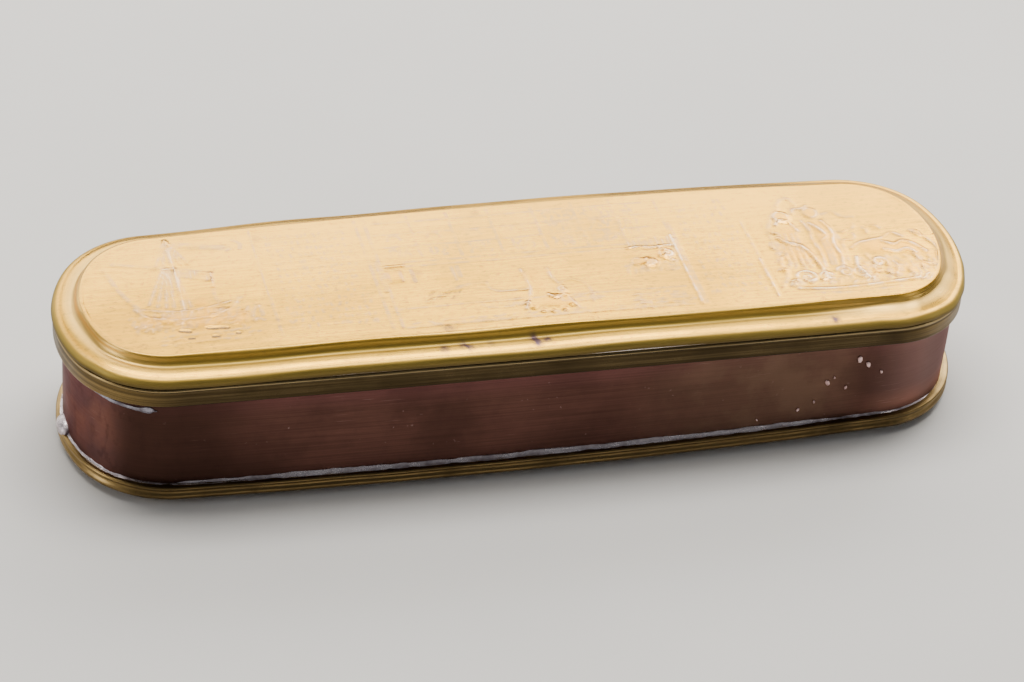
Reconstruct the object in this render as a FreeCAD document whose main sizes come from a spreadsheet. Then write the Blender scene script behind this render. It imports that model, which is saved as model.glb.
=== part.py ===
"""Needle case: a long, round-ended box of copper with brass mouldings and a hinged, pressed brass lid.

Millimetres. The origin is the centre of the flat underside, X runs along the box,
+Y points to the hinge at the back and +Z points up through the lid.

Every ring of the box follows one outline of tangent arcs: two long, gently bowed sides, four corners
and two blunt ends. A ring's section is given by insets, measured inwards from the lid's widest line,
and by heights above the underside.
"""
import FreeCAD, Part
import math
import os

import Sketcher

SIZES = {
    # the outline of the lid at its widest
    "half_length": 82.5,
    "half_width": 23.5,
    "side_radius": 1280.0,
    "corner_radius": 18.5,
    "end_radius": 27.0,
    # lid cover: a pressed sheet with a raised top, a sloping ledge and an edge that rolls over
    "lid_top": 29.0,
    "lid_underside": 28.5,
    "top_plate_inset": 6.3,
    "top_joint_inset": 6.6,
    "top_edge_inset": 5.0,
    "top_edge_inner": 5.35,
    "cove_upper_inset": 4.45,
    "cove_upper_height": 28.4,
    "cove_upper_inner": 4.95,
    "cove_lower_inset": 3.6,
    "cove_lower_height": 27.25,
    "cove_lower_inner": 3.75,
    "cove_under_height": 26.74,
    "ledge_inset": 1.5,
    "ledge_height": 26.75,
    "ledge_under_height": 26.24,
    "roll_inset": 0.3,
    "roll_height": 25.4,
    "cover_edge_height": 24.9,
    "cover_edge_inner": 0.8,
    "top_edge_bend": 0.6,
    "cove_bend": 1.3,
    "cove_bend_inner": 1.8,
    "roll_bend": 1.35,
    "roll_bend_inner": 0.85,
    # lid rim band: a drawn strip with a bead outside and a tongue up inside the cover's edge
    "rim_bottom": 21.5,
    "rim_inner_inset": 1.4,
    "rim_foot_inset": 0.6,
    "bead_lower_inset": 0.35,
    "bead_lower_height": 21.9,
    "bead_upper_inset": 0.45,
    "bead_upper_height": 24.6,
    "bead_bend": 2.5,
    "tongue_foot_height": 24.75,
    "tongue_shoulder_height": 25.3,
    "tongue_top_height": 25.8,
    "rim_solder_inset": 1.75,
    "rim_solder_height": 26.27,
    # side band: a copper strip bent to the outline
    "band_outer_inset": 2.0,
    "band_inner_inset": 2.8,
    "band_bottom": 2.3,
    "band_top": 25.9,
    "seam_place": -52.0,
    "seam_half_width": 0.25,
    "seam_reach_inner": 17.0,
    "seam_reach_outer": 22.5,
    "seam_outer": 20.42,
    "seam_inner": 19.66,
    # base pan: a pressed sheet whose floor stands lower than its ledge
    "underside": 0.0,
    "floor_top": 0.7,
    "floor_joint_inset": 7.2,
    "floor_plate_inset": 6.9,
    "floor_edge_inset": 5.3,
    "floor_edge_inner": 5.75,
    "pan_bend_inset": 4.7,
    "pan_bend_height": 0.55,
    "pan_bend_inner": 5.35,
    "pan_bend_top": 1.1,
    "pan_ledge_inset": 3.9,
    "pan_ledge_inner": 4.3,
    "pan_ledge_under": 1.6,
    "pan_ledge_top": 2.3,
    "pan_edge_inset": 1.25,
    "pan_bend": 0.65,
    "pan_cove": 1.2,
    # base rim band: a drawn strip, hollowed between an upper edge and a lower lip
    "base_rim_inner": 1.95,
    "base_rim_top": 4.0,
    "base_edge_inset": 0.85,
    "base_face_inset": 0.5,
    "base_face_height": 3.65,
    "base_edge_bend": 0.36,
    "base_hollow_inset": 0.75,
    "base_hollow_height": 2.6,
    "base_hollow_bend": 0.75,
    "base_lip_height": 1.45,
    "base_lip_bend": 0.72,
    "base_rebate_inset": 1.2,
    # base solder: the soft-solder fillet between the side band and the base
    "fillet_inner": 1.98,
    "fillet_top": 4.85,
    "fillet_outer": 0.95,
    "fillet_edge": 4.1,
    "fillet_bend": 1.6,
    # hinge: brass tubes on two leaves, outside the back wall and just below the lid
    "hinge_axis_y": 23.6,
    "hinge_axis_z": 19.8,
    "knuckle_radius": 1.4,
    "knuckle_bore": 0.7,
    "knuckle_length": 8.3,
    "knuckle_pitch": 8.6,
    "clear_radius": 1.7,
    "clear_length": 8.9,
    "pin_radius": 0.65,
    "pin_half_length": 30.0,
    "pin_head_radius": 0.95,
    "pin_head_edge": 30.2,
    "pin_head_end": 30.4,
    "pin_head_flat": 0.6,
    "leaf_half_length": 29.9,
    "case_leaf_bottom": 13.6,
    "case_leaf_top": 20.5,
    "case_leaf_face": 22.2,
    "bearer_bottom": 18.7,
    "bearer_face": 23.0,
    "lid_leaf_inner": 23.5,
    "lid_leaf_face": 24.3,
    "lid_leaf_bottom": 20.6,
    "lid_leaf_top": 24.6,
    "case_solder_bottom": 13.0,
    "case_solder_face": 21.85,
    "lid_solder_top": 24.95,
    "lid_solder_face": 23.9,
    "hinge_solder_half_length": 29.2,
}
CASE_KNUCKLES = (-3, -1, 1, 3)
LID_KNUCKLES = (-2, 0, 2)
UP = FreeCAD.Vector(0, 0, 1)

doc = FreeCAD.newDocument("NeedleCase")
sheet = doc.addObject("Spreadsheet::Sheet", "sizes")
for row, (alias, number) in enumerate(SIZES.items(), start=1):
    sheet.set(f"A{row}", alias)
    sheet.set(f"B{row}", str(number))
    sheet.setAlias(f"B{row}", alias)
doc.recompute()


def amount(*terms):
    """The number and the sheet expression of a sum of named sizes; '-name' is taken away."""
    value = sum(-SIZES[term[1:]] if term.startswith("-") else SIZES[term] for term in terms)
    words = [f"- sizes.{term[1:]}" if term.startswith("-") else f"+ sizes.{term}" for term in terms]
    return value, "0 " + " ".join(words)


def new_body(label):
    body = doc.addObject("PartDesign::Body", label)
    body.Label = label
    return body


def new_sketch(body, name, role, lift=None):
    """A sketch on one of the body's origin planes, lifted along the plane's normal by a named size."""
    plane = next(part for part in body.Origin.OriginFeatures if part.Role == role)
    sketch = body.newObject("Sketcher::SketchObject", name)
    sketch.AttachmentSupport = [(plane, "")]
    sketch.MapMode = "FlatFace"
    if lift:
        sketch.setExpression("AttachmentOffset.Base.z", lift[1])
    return sketch


def bind(sketch, kind, *arguments, size):
    """A dimensional constraint bound to the sheet."""
    number = sketch.addConstraint(Sketcher.Constraint(kind, *arguments, size[0]))
    sketch.setExpression(f"Constraints[{number}]", size[1])


def draw_outline(sketch, inset_terms):
    """The box's outline of eight tangent arcs, moved inwards by the sum of the named insets."""
    inset = amount(*inset_terms)[0]
    ends, corners, sides = (SIZES[f"{name}_radius"] for name in ("end", "corner", "side"))
    end_x = SIZES["half_length"] - ends
    side_y = SIZES["half_width"] - sides
    apart = math.hypot(end_x, side_y)
    along = ((ends - corners) ** 2 - (sides - corners) ** 2 + apart**2) / (2 * apart)
    across = math.sqrt((ends - corners) ** 2 - along**2)
    corner_x = end_x - along * end_x / apart - across * side_y / apart
    corner_y = along * side_y / apart - across * end_x / apart
    end_angle = math.atan2(corner_y, corner_x - end_x)
    side_angle = math.atan2(corner_y - side_y, corner_x)
    half_turn = math.pi
    arcs = [
        (end_x, 0, ends, -end_angle, end_angle),
        (corner_x, corner_y, corners, end_angle, side_angle),
        (0, side_y, sides, side_angle, half_turn - side_angle),
        (-corner_x, corner_y, corners, half_turn - side_angle, half_turn - end_angle),
        (-end_x, 0, ends, half_turn - end_angle, half_turn + end_angle),
        (-corner_x, -corner_y, corners, half_turn + end_angle, half_turn + side_angle),
        (0, -side_y, sides, half_turn + side_angle, 2 * half_turn - side_angle),
        (corner_x, -corner_y, corners, -side_angle, -end_angle),
    ]
    first = sketch.GeometryCount
    for x, y, radius, start, stop in arcs:
        circle = Part.Circle(FreeCAD.Vector(x, y, 0), UP, radius - inset)
        sketch.addGeometry(Part.ArcOfCircle(circle, start, stop), False)
    for place in range(8):
        after = (place + 1) % 8
        sketch.addConstraint(Sketcher.Constraint("Tangent", first + place, 2, first + after, 1))
    for place, kind in enumerate(("end", "corner", "side", "corner") * 2):
        bind(sketch, "Radius", first + place,
             size=amount(f"{kind}_radius", *(f"-{term}" for term in inset_terms)))
    for place in (0, 4):
        sketch.addConstraint(Sketcher.Constraint("PointOnObject", first + place, 3, -1))
    for place in (2, 6):
        sketch.addConstraint(Sketcher.Constraint("PointOnObject", first + place, 3, -2))
    end_centre = amount("half_length", "-end_radius")
    side_centre = amount("side_radius", "-half_width")
    bind(sketch, "DistanceX", -1, 1, first, 3, size=end_centre)
    bind(sketch, "DistanceX", first + 4, 3, -1, 1, size=end_centre)
    bind(sketch, "DistanceY", first + 2, 3, -1, 1, size=side_centre)
    bind(sketch, "DistanceY", -1, 1, first + 6, 3, size=side_centre)


def draw_section(sketch, corners):
    """A closed section. Each corner is (x size, y size, bend): bend is None for a straight run to the next
    corner, or (size, side) for an arc of that radius, bulging left (1) or right (-1) of the way to it."""
    points = [FreeCAD.Vector(x[0], y[0], 0) for x, y, _ in corners]
    ends = []
    for place, (x, y, bend) in enumerate(corners):
        start = points[place]
        stop = points[(place + 1) % len(points)]
        if bend is None:
            number = sketch.addGeometry(Part.LineSegment(start, stop), False)
            ends.append((number, 1, 2))
            continue
        size, side = bend
        radius = size[0]
        half = (stop - start).Length / 2
        way = (stop - start).normalize()
        left = FreeCAD.Vector(-way.y, way.x, 0)
        centre = (start + stop) / 2 - left * side * math.sqrt(radius**2 - half**2)
        first, last = (stop, start) if side == 1 else (start, stop)
        from_angle, to_angle = (math.atan2(p.y - centre.y, p.x - centre.x) for p in (first, last))
        if to_angle < from_angle:
            to_angle += 2 * math.pi
        circle = Part.Circle(centre, UP, radius)
        number = sketch.addGeometry(Part.ArcOfCircle(circle, from_angle, to_angle), False)
        ends.append((number, 2, 1) if side == 1 else (number, 1, 2))
        bind(sketch, "Radius", number, size=size)
    for place, (number, start, stop) in enumerate(ends):
        after = ends[(place + 1) % len(ends)]
        sketch.addConstraint(Sketcher.Constraint("Coincident", number, stop, after[0], after[1]))
    for (x, y, _), (number, start, _) in zip(corners, ends):
        bind(sketch, "DistanceX", -1, 1, number, start, size=x)
        bind(sketch, "DistanceY", -1, 1, number, start, size=y)


def at(inset, height, bend=None, side=1):
    """A corner of a ring's section, given by the names of its inset and height."""
    return amount("half_length", f"-{inset}"), amount(height), (amount(bend), side) if bend else None


def sweep_ring(body, name, corners):
    """A section swept once around the box's outline."""
    spine = new_sketch(body, f"{name}_outline", "XY_Plane")
    draw_outline(spine, ())
    section = new_sketch(body, f"{name}_section", "XZ_Plane")
    draw_section(section, corners)
    ring = body.newObject("PartDesign::AdditivePipe", name)
    ring.Profile = section
    ring.Spine = (spine, [])
    doc.recompute()
    return ring


def pad(body, name, sketch, size, symmetric=False):
    feature = body.newObject("PartDesign::Pad", name)
    feature.Profile = sketch
    feature.setExpression("Length", size[1])
    if symmetric:
        feature.SideType = "Symmetric"
    doc.recompute()
    return feature


def slot(body, name, sketch, size, symmetric=False):
    feature = body.newObject("PartDesign::Pocket", name)
    feature.Profile = sketch
    feature.setExpression("Length", size[1])
    if symmetric:
        feature.SideType = "Symmetric"
    doc.recompute()
    return feature


def draw_box(sketch, left, right, bottom, top):
    """A rectangle between named places."""
    places = ((left, bottom), (right, bottom), (right, top), (left, top))
    draw_section(sketch, [(x, y, None) for x, y in places])


def draw_circle(sketch, size, x=None, y=None):
    """A circle of a named radius, at the sketch's origin or at a named place."""
    centre = FreeCAD.Vector(x[0] if x else 0, y[0] if y else 0, 0)
    number = sketch.addGeometry(Part.Circle(centre, UP, size[0]), False)
    bind(sketch, "Radius", number, size=size)
    if x is None:
        sketch.addConstraint(Sketcher.Constraint("Coincident", number, 3, -1, 1))
        return
    bind(sketch, "DistanceX", -1, 1, number, 3, size=x)
    bind(sketch, "DistanceY", -1, 1, number, 3, size=y)


def draw_backed_strip(sketch, inset, face, half_length):
    """A strip seen from above: flat outside, and bowed inside like the back of the outline at an inset."""
    radius = amount("side_radius", f"-{inset}")
    centre_y = amount("half_width", "-side_radius")
    sag = radius[0] - math.sqrt(radius[0] ** 2 - half_length[0] ** 2)
    back = radius[0] + centre_y[0] - sag
    points = [FreeCAD.Vector(x * half_length[0], y, 0)
              for x, y in ((-1, back), (1, back), (1, face[0]), (-1, face[0]))]
    angles = [math.atan2(point.y - centre_y[0], point.x) for point in (points[1], points[0])]
    circle = Part.Circle(FreeCAD.Vector(0, centre_y[0], 0), UP, radius[0])
    curve = sketch.addGeometry(Part.ArcOfCircle(circle, *angles), False)
    left, front, right = (sketch.addGeometry(Part.LineSegment(points[a], points[b]), False)
                          for a, b in ((0, 3), (3, 2), (2, 1)))
    for one, other in ((curve, left), (left, front), (front, right), (right, curve)):
        sketch.addConstraint(Sketcher.Constraint("Coincident", one, 2, other, 1))
    bind(sketch, "Radius", curve, size=radius)
    sketch.addConstraint(Sketcher.Constraint("PointOnObject", curve, 3, -2))
    bind(sketch, "DistanceY", curve, 3, -1, 1, size=amount("side_radius", "-half_width"))
    sketch.addConstraint(Sketcher.Constraint("Horizontal", front))
    for line in (left, right):
        sketch.addConstraint(Sketcher.Constraint("Vertical", line))
    bind(sketch, "DistanceY", -1, 1, front, 1, size=face)
    bind(sketch, "DistanceX", front, 1, -1, 1, size=half_length)
    bind(sketch, "DistanceX", -1, 1, front, 2, size=half_length)


def clear_knuckles(body, places, name, radius, length):
    """Round troughs about the hinge axis, one across each knuckle place."""
    for count, place in enumerate(places, start=1):
        trough = new_sketch(body, f"{name}_{count}", "YZ_Plane", (0, f"{place} * sizes.knuckle_pitch"))
        draw_circle(trough, amount(radius), amount("hinge_axis_y"), amount("hinge_axis_z"))
        slot(body, f"{name}_cut_{count}", trough, amount(length), symmetric=True)


parts = []

# Lid cover: brass sheet pressed into a raised top, a cove, a ledge and a rolled edge.
lid_cover = new_body("lid_cover")
sweep_ring(lid_cover, "cover_ring", [
    at("top_joint_inset", "lid_top"),
    at("top_edge_inset", "lid_top", "top_edge_bend"),
    at("cove_upper_inset", "cove_upper_height", "cove_bend", -1),
    at("cove_lower_inset", "cove_lower_height"),
    at("ledge_inset", "ledge_height", "roll_bend"),
    at("roll_inset", "roll_height"),
    at("roll_inset", "cover_edge_height"),
    at("cover_edge_inner", "cover_edge_height"),
    at("cover_edge_inner", "roll_height", "roll_bend_inner", -1),
    at("ledge_inset", "ledge_under_height"),
    at("cove_lower_inner", "cove_under_height", "cove_bend_inner"),
    at("cove_upper_inner", "cove_upper_height"),
    at("top_edge_inner", "lid_underside"),
    at("top_joint_inset", "lid_underside"),
])
top_outline = new_sketch(lid_cover, "top_outline", "XY_Plane", amount("lid_underside"))
draw_outline(top_outline, ("top_plate_inset",))
pad(lid_cover, "top_plate", top_outline, amount("lid_top", "-lid_underside"))
parts.append(lid_cover)

# Lid rim band: a drawn brass strip, bent to the outline, that the cover's edge sits on.
lid_rim_band = new_body("lid_rim_band")
sweep_ring(lid_rim_band, "rim_ring", [
    at("rim_inner_inset", "rim_bottom"),
    at("rim_inner_inset", "tongue_top_height"),
    at("cover_edge_inner", "tongue_shoulder_height"),
    at("cover_edge_inner", "tongue_foot_height"),
    at("bead_upper_inset", "bead_upper_height", "bead_bend"),
    at("bead_lower_inset", "bead_lower_height"),
    at("rim_foot_inset", "rim_bottom"),
])
parts.append(lid_rim_band)

# Lid rim solder: fills the corner between the tongue and the inside of the cover's roll.
lid_rim_solder = new_body("lid_rim_solder")
sweep_ring(lid_rim_solder, "solder_ring", [
    at("cover_edge_inner", "tongue_shoulder_height"),
    at("cover_edge_inner", "roll_height", "roll_bend_inner", -1),
    at("ledge_inset", "ledge_under_height"),
    at("rim_solder_inset", "rim_solder_height"),
    at("rim_inner_inset", "tongue_top_height"),
])
parts.append(lid_rim_solder)

# Side band: a copper strip bent to the outline, open at its seam.
side_band = new_body("side_band")
band_outline = new_sketch(side_band, "band_outline", "XY_Plane", amount("band_bottom"))
draw_outline(band_outline, ("band_outer_inset",))
draw_outline(band_outline, ("band_inner_inset",))
pad(side_band, "band_wall", band_outline, amount("band_top", "-band_bottom"))
seam_left = amount("seam_place", "-seam_half_width")
seam_right = amount("seam_place", "seam_half_width")
seam_opening = new_sketch(side_band, "seam_opening", "XY_Plane", amount("band_top"))
draw_box(seam_opening, seam_left, seam_right, amount("seam_reach_inner"), amount("seam_reach_outer"))
slot(side_band, "seam_gap", seam_opening, amount("band_top", "-band_bottom"))
parts.append(side_band)

# Seam solder: the run of hard solder that closes the side band's seam.
seam_solder = new_body("seam_solder")
seam_plan = new_sketch(seam_solder, "seam_plan", "XY_Plane", amount("band_bottom"))
draw_box(seam_plan, seam_left, seam_right, amount("seam_inner"), amount("seam_outer"))
pad(seam_solder, "seam_fill", seam_plan, amount("band_top", "-band_bottom"))
parts.append(seam_solder)

# Base pan: a pressed brass sheet. The case rests on its floor, and the side band stands on its ledge.
base_pan = new_body("base_pan")
sweep_ring(base_pan, "pan_ring", [
    at("floor_joint_inset", "underside"),
    at("floor_joint_inset", "floor_top"),
    at("floor_edge_inner", "floor_top"),
    at("pan_bend_inner", "pan_bend_top"),
    at("pan_ledge_inner", "pan_ledge_top"),
    at("pan_edge_inset", "pan_ledge_top"),
    at("pan_edge_inset", "pan_ledge_under"),
    at("pan_ledge_inset", "pan_ledge_under", "pan_cove"),
    at("pan_bend_inset", "pan_bend_height", "pan_bend", -1),
    at("floor_edge_inset", "underside"),
])
floor_outline = new_sketch(base_pan, "floor_outline", "XY_Plane")
draw_outline(floor_outline, ("floor_plate_inset",))
pad(base_pan, "floor_plate", floor_outline, amount("floor_top"))
parts.append(base_pan)

# Base rim band: a drawn brass strip around the foot of the case, hollowed above its lip.
base_rim_band = new_body("base_rim_band")
sweep_ring(base_rim_band, "base_ring", [
    at("base_rim_inner", "pan_ledge_top"),
    at("base_rim_inner", "base_rim_top"),
    at("base_edge_inset", "base_rim_top", "base_edge_bend"),
    at("base_face_inset", "base_face_height", "base_hollow_bend", -1),
    at("base_hollow_inset", "base_hollow_height", "base_lip_bend"),
    at("base_hollow_inset", "base_lip_height"),
    at("base_rebate_inset", "base_lip_height"),
    at("base_rebate_inset", "pan_ledge_top"),
])
parts.append(base_rim_band)

# Base solder: the grey fillet of soft solder around the foot of the side band.
base_solder = new_body("base_solder")
sweep_ring(base_solder, "fillet_ring", [
    at("fillet_inner", "base_rim_top"),
    at("fillet_inner", "fillet_top", "fillet_bend", -1),
    at("fillet_outer", "fillet_edge"),
    at("fillet_outer", "base_rim_top"),
])
parts.append(base_solder)

# Case hinge leaf: a brass plate soldered to the back of the side band, with a bearer for its knuckles.
case_hinge_leaf = new_body("case_hinge_leaf")
leaf_plan = new_sketch(case_hinge_leaf, "leaf_plan", "XY_Plane", amount("case_leaf_bottom"))
draw_backed_strip(leaf_plan, "band_outer_inset", amount("case_leaf_face"), amount("leaf_half_length"))
pad(case_hinge_leaf, "leaf_plate", leaf_plan, amount("case_leaf_top", "-case_leaf_bottom"))
bearer_plan = new_sketch(case_hinge_leaf, "bearer_plan", "XY_Plane", amount("bearer_bottom"))
draw_backed_strip(bearer_plan, "band_outer_inset", amount("bearer_face"), amount("leaf_half_length"))
pad(case_hinge_leaf, "bearer", bearer_plan, amount("case_leaf_top", "-bearer_bottom"))
clear_knuckles(case_hinge_leaf, CASE_KNUCKLES, "seat", "knuckle_radius", "clear_length")
clear_knuckles(case_hinge_leaf, LID_KNUCKLES, "clearance", "clear_radius", "clear_length")
parts.append(case_hinge_leaf)

# Case hinge solder: the run of solder under the leaf.
case_hinge_solder = new_body("case_hinge_solder")
case_run = new_sketch(case_hinge_solder, "case_run", "XY_Plane", amount("case_solder_bottom"))
draw_backed_strip(case_run, "band_outer_inset", amount("case_solder_face"),
                  amount("hinge_solder_half_length"))
pad(case_hinge_solder, "case_fill", case_run, amount("case_leaf_bottom", "-case_solder_bottom"))
parts.append(case_hinge_solder)

# Lid hinge leaf: a brass plate soldered to the back of the lid's rim band, standing on its knuckles.
lid_hinge_leaf = new_body("lid_hinge_leaf")
plate_plan = new_sketch(lid_hinge_leaf, "plate_plan", "XY_Plane", amount("lid_leaf_bottom"))
draw_box(plate_plan, amount("-leaf_half_length"), amount("leaf_half_length"),
         amount("lid_leaf_inner"), amount("lid_leaf_face"))
pad(lid_hinge_leaf, "lid_plate", plate_plan, amount("lid_leaf_top", "-lid_leaf_bottom"))
clear_knuckles(lid_hinge_leaf, LID_KNUCKLES, "seat", "knuckle_radius", "clear_length")
clear_knuckles(lid_hinge_leaf, CASE_KNUCKLES, "clearance", "clear_radius", "clear_length")
parts.append(lid_hinge_leaf)

# Lid hinge solder: the run of solder above the leaf, against the cover's edge.
lid_hinge_solder = new_body("lid_hinge_solder")
lid_run = new_sketch(lid_hinge_solder, "lid_run", "XY_Plane", amount("lid_leaf_top"))
draw_backed_strip(lid_run, "roll_inset", amount("lid_solder_face"), amount("hinge_solder_half_length"))
pad(lid_hinge_solder, "lid_fill", lid_run, amount("lid_solder_top", "-lid_leaf_top"))
parts.append(lid_hinge_solder)

# Knuckles: lengths of brass tube, soldered in turn to the case's leaf and to the lid's.
for side, places in (("case", CASE_KNUCKLES), ("lid", LID_KNUCKLES)):
    for count, place in enumerate(places, start=1):
        knuckle = new_body(f"{side}_knuckle_{count}")
        tube_end = new_sketch(knuckle, "tube_end", "YZ_Plane")
        draw_circle(tube_end, amount("knuckle_radius"))
        draw_circle(tube_end, amount("knuckle_bore"))
        pad(knuckle, "tube", tube_end, amount("knuckle_length"), symmetric=True)
        knuckle.setExpression("Placement.Base.x", f"{place} * sizes.knuckle_pitch")
        knuckle.setExpression("Placement.Base.y", amount("hinge_axis_y")[1])
        knuckle.setExpression("Placement.Base.z", amount("hinge_axis_z")[1])
        parts.append(knuckle)

# Hinge pin: a brass wire through all the knuckles, peened to a small head at each end.
hinge_pin = new_body("hinge_pin")
pin_half = new_sketch(hinge_pin, "pin_half", "XY_Plane")
nothing = (0.0, "0")
draw_section(pin_half, [
    (amount("-pin_head_end"), nothing, None),
    (amount("pin_head_end"), nothing, None),
    (amount("pin_head_end"), amount("pin_head_flat"), None),
    (amount("pin_head_edge"), amount("pin_head_radius"), None),
    (amount("pin_half_length"), amount("pin_head_radius"), None),
    (amount("pin_half_length"), amount("pin_radius"), None),
    (amount("-pin_half_length"), amount("pin_radius"), None),
    (amount("-pin_half_length"), amount("pin_head_radius"), None),
    (amount("-pin_head_edge"), amount("pin_head_radius"), None),
    (amount("-pin_head_end"), amount("pin_head_flat"), None),
])
pin_turned = hinge_pin.newObject("PartDesign::Revolution", "pin_turned")
pin_turned.Profile = pin_half
pin_turned.ReferenceAxis = (pin_half, ["H_Axis"])
hinge_pin.setExpression("Placement.Base.y", amount("hinge_axis_y")[1])
hinge_pin.setExpression("Placement.Base.z", amount("hinge_axis_z")[1])
parts.append(hinge_pin)

doc.recompute()
for item in doc.Objects:
    if "Invalid" in item.State or "Error" in item.State:
        raise RuntimeError(f"{item.Label} is {item.State}")
for part in parts:
    if part.Shape.isNull() or not part.Shape.isValid():
        raise RuntimeError(f"{part.Label} has no valid shape")
os.makedirs("parts", exist_ok=True)
for part in parts:
    part.Shape.exportStep(f"parts/{part.Label}.step")
    print(part.Label, len(part.Shape.Solids), round(part.Shape.Volume, 1))
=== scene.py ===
"""Long round-ended needle case: copper wall, brass base, and a brass lid chased with small scenes.

Lengths are metres.  Only drawn sections and the chased panel are laid out in millimetres.
x runs along the case, and the hinge is at the back, +y.
"""
import math

import bpy
import numpy as np
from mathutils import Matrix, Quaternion, Vector


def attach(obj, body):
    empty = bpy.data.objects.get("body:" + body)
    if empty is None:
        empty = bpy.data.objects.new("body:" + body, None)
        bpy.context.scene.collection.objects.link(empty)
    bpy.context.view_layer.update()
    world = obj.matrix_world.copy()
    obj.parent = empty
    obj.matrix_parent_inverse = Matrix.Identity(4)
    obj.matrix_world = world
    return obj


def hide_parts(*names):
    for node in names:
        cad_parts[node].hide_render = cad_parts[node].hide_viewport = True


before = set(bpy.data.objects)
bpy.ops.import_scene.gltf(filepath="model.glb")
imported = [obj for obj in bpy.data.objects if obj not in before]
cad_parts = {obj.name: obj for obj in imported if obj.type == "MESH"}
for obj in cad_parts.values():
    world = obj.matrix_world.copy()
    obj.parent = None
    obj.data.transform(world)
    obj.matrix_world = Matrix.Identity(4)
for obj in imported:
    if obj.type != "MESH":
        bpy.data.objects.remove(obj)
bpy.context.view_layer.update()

MM = 0.001


# ---- Base pan -------------------------------------------------------------------------------
# The bottom of the case is one sheet of brass, dished at its edge so that the wall stands in it.
# It was hammered over a stake and never polished underneath, so it is dull, patched and scratched.

def add(tree, kind, inputs=None, **settings):
    """Adds a node, sets its options, and wires or fills its inputs by name or number."""
    node = tree.nodes.new(kind)
    for key, value in settings.items():
        setattr(node, key, value)
    for key, value in (inputs or {}).items():
        if isinstance(value, bpy.types.NodeSocket):
            tree.links.new(value, node.inputs[key])
        else:
            node.inputs[key].default_value = value
    return node


def maths(tree, operation, *values):
    """A Math node's result."""
    return add(tree, "ShaderNodeMath", dict(enumerate(values)), operation=operation).outputs[0]


def times(tree, *shares):
    """Shares worked down by one another."""
    product = shares[0]
    for share in shares[1:]:
        product = maths(tree, "MULTIPLY", product, share)
    return product


def in_place(tree):
    """Places on the case itself, for marks that take no notice of how the metal was bent."""
    return add(tree, "ShaderNodeTexCoord").outputs["Object"]


def on_sheet(tree):
    """Places along and across a strip or sheet, for marks that follow the way it was drawn."""
    return add(tree, "ShaderNodeAttribute", attribute_name="lay").outputs["Vector"]


def grain(tree, where, scale, detail=4.0, stretch=(1.0, 1.0, 1.0), shift=(0.0, 0.0, 0.0)):
    """Noise on the metal, stretched along the way the sheet was drawn or rubbed."""
    laid = add(tree, "ShaderNodeMapping", {"Vector": where, "Scale": stretch, "Location": shift})
    return add(tree, "ShaderNodeTexNoise", {"Vector": laid.outputs[0], "Scale": scale, "Detail": detail,
                                            "Roughness": 0.6}).outputs["Fac"]


def between(tree, value, low, high, start=0.0, end=1.0):
    """The value's run from low to high, stretched smoothly onto start to end."""
    return add(tree, "ShaderNodeMapRange", {"Value": value, "From Min": low, "From Max": high,
                                            "To Min": start, "To Max": end},
               interpolation_type="SMOOTHSTEP").outputs[0]


def blend_colours(tree, share, first, second):
    """Goes from the first colour to the second as the share goes from 0 to 1."""
    mix = tree.nodes.new("ShaderNodeMix")
    mix.data_type = "RGBA"
    for socket, value in ((mix.inputs[0], share), (mix.inputs[6], first), (mix.inputs[7], second)):
        if isinstance(value, bpy.types.NodeSocket):
            tree.links.new(value, socket)
        else:
            socket.default_value = value
    return mix.outputs[2]


def worked_metal(name, clean, tarnished, dirt, shine, patches, streak=0.5, speckle=0.5, metallic=1.0,
                 laid=False, bump=0.3):
    """Sheet metal with tarnish in patches, drawn streaks, dark specks and fine rubbing marks."""
    material = bpy.data.materials.new(name)
    material.use_nodes = True
    tree = material.node_tree
    surface = tree.nodes["Principled BSDF"]
    solid = in_place(tree)
    where = on_sheet(tree) if laid else solid
    patch = between(tree, grain(tree, solid, patches, 5.0), 0.35, 0.68)
    lines = grain(tree, where, 1.0, 6.0, (45.0, 3200.0, 3200.0))
    fine = grain(tree, where, 1.0, 3.0, (160.0, 9000.0, 9000.0), (3.0, 1.0, 7.0))
    specks = between(tree, grain(tree, solid, 900.0, 2.0, shift=(5.0, 2.0, 1.0)), 0.70, 0.78)
    broad = between(tree, grain(tree, solid, 18.0, 2.0, shift=(1.0, 9.0, 4.0)), 0.3, 0.7)
    tone = blend_colours(tree, times(tree, patch, broad), clean, tarnished)
    drawn = times(tree, between(tree, lines, 0.38, 0.66), streak)
    tone = blend_colours(tree, drawn, tone, tarnished)
    tone = blend_colours(tree, times(tree, specks, speckle), tone, dirt)
    tree.links.new(tone, surface.inputs["Base Color"])
    rough = maths(tree, "ADD", between(tree, patch, 0.0, 1.0, *shine), times(tree, drawn, 0.12))
    tree.links.new(rough, surface.inputs["Roughness"])
    surface.inputs["Metallic"].default_value = metallic
    relief = maths(tree, "ADD", times(tree, lines, 0.6), times(tree, fine, 0.4))
    marks = add(tree, "ShaderNodeBump", {"Height": relief, "Strength": bump, "Distance": 0.00008})
    tree.links.new(marks.outputs[0], surface.inputs["Normal"])
    return material


def dress(node, material):
    """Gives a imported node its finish."""
    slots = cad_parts[node].data.materials
    slots.clear()
    slots.append(material)


dull_brass = worked_metal("dull hammered brass", (0.42, 0.27, 0.11, 1.0), (0.20, 0.13, 0.055, 1.0),
                          (0.04, 0.03, 0.02, 1.0), shine=(0.35, 0.6), patches=45.0, streak=0.35)
dress("base_pan", dull_brass)


# ---- Brass rim of the base -------------------------------------------------------------------
# A strip of brass drawn to a hollow moulding, bent round the outline and soldered over the edge
# of the pan.  Its lip is knocked about and catches the light; its face is a dark olive that is partly
# tarnish and partly painted shade, with painted highlights towards both ends.

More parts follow.
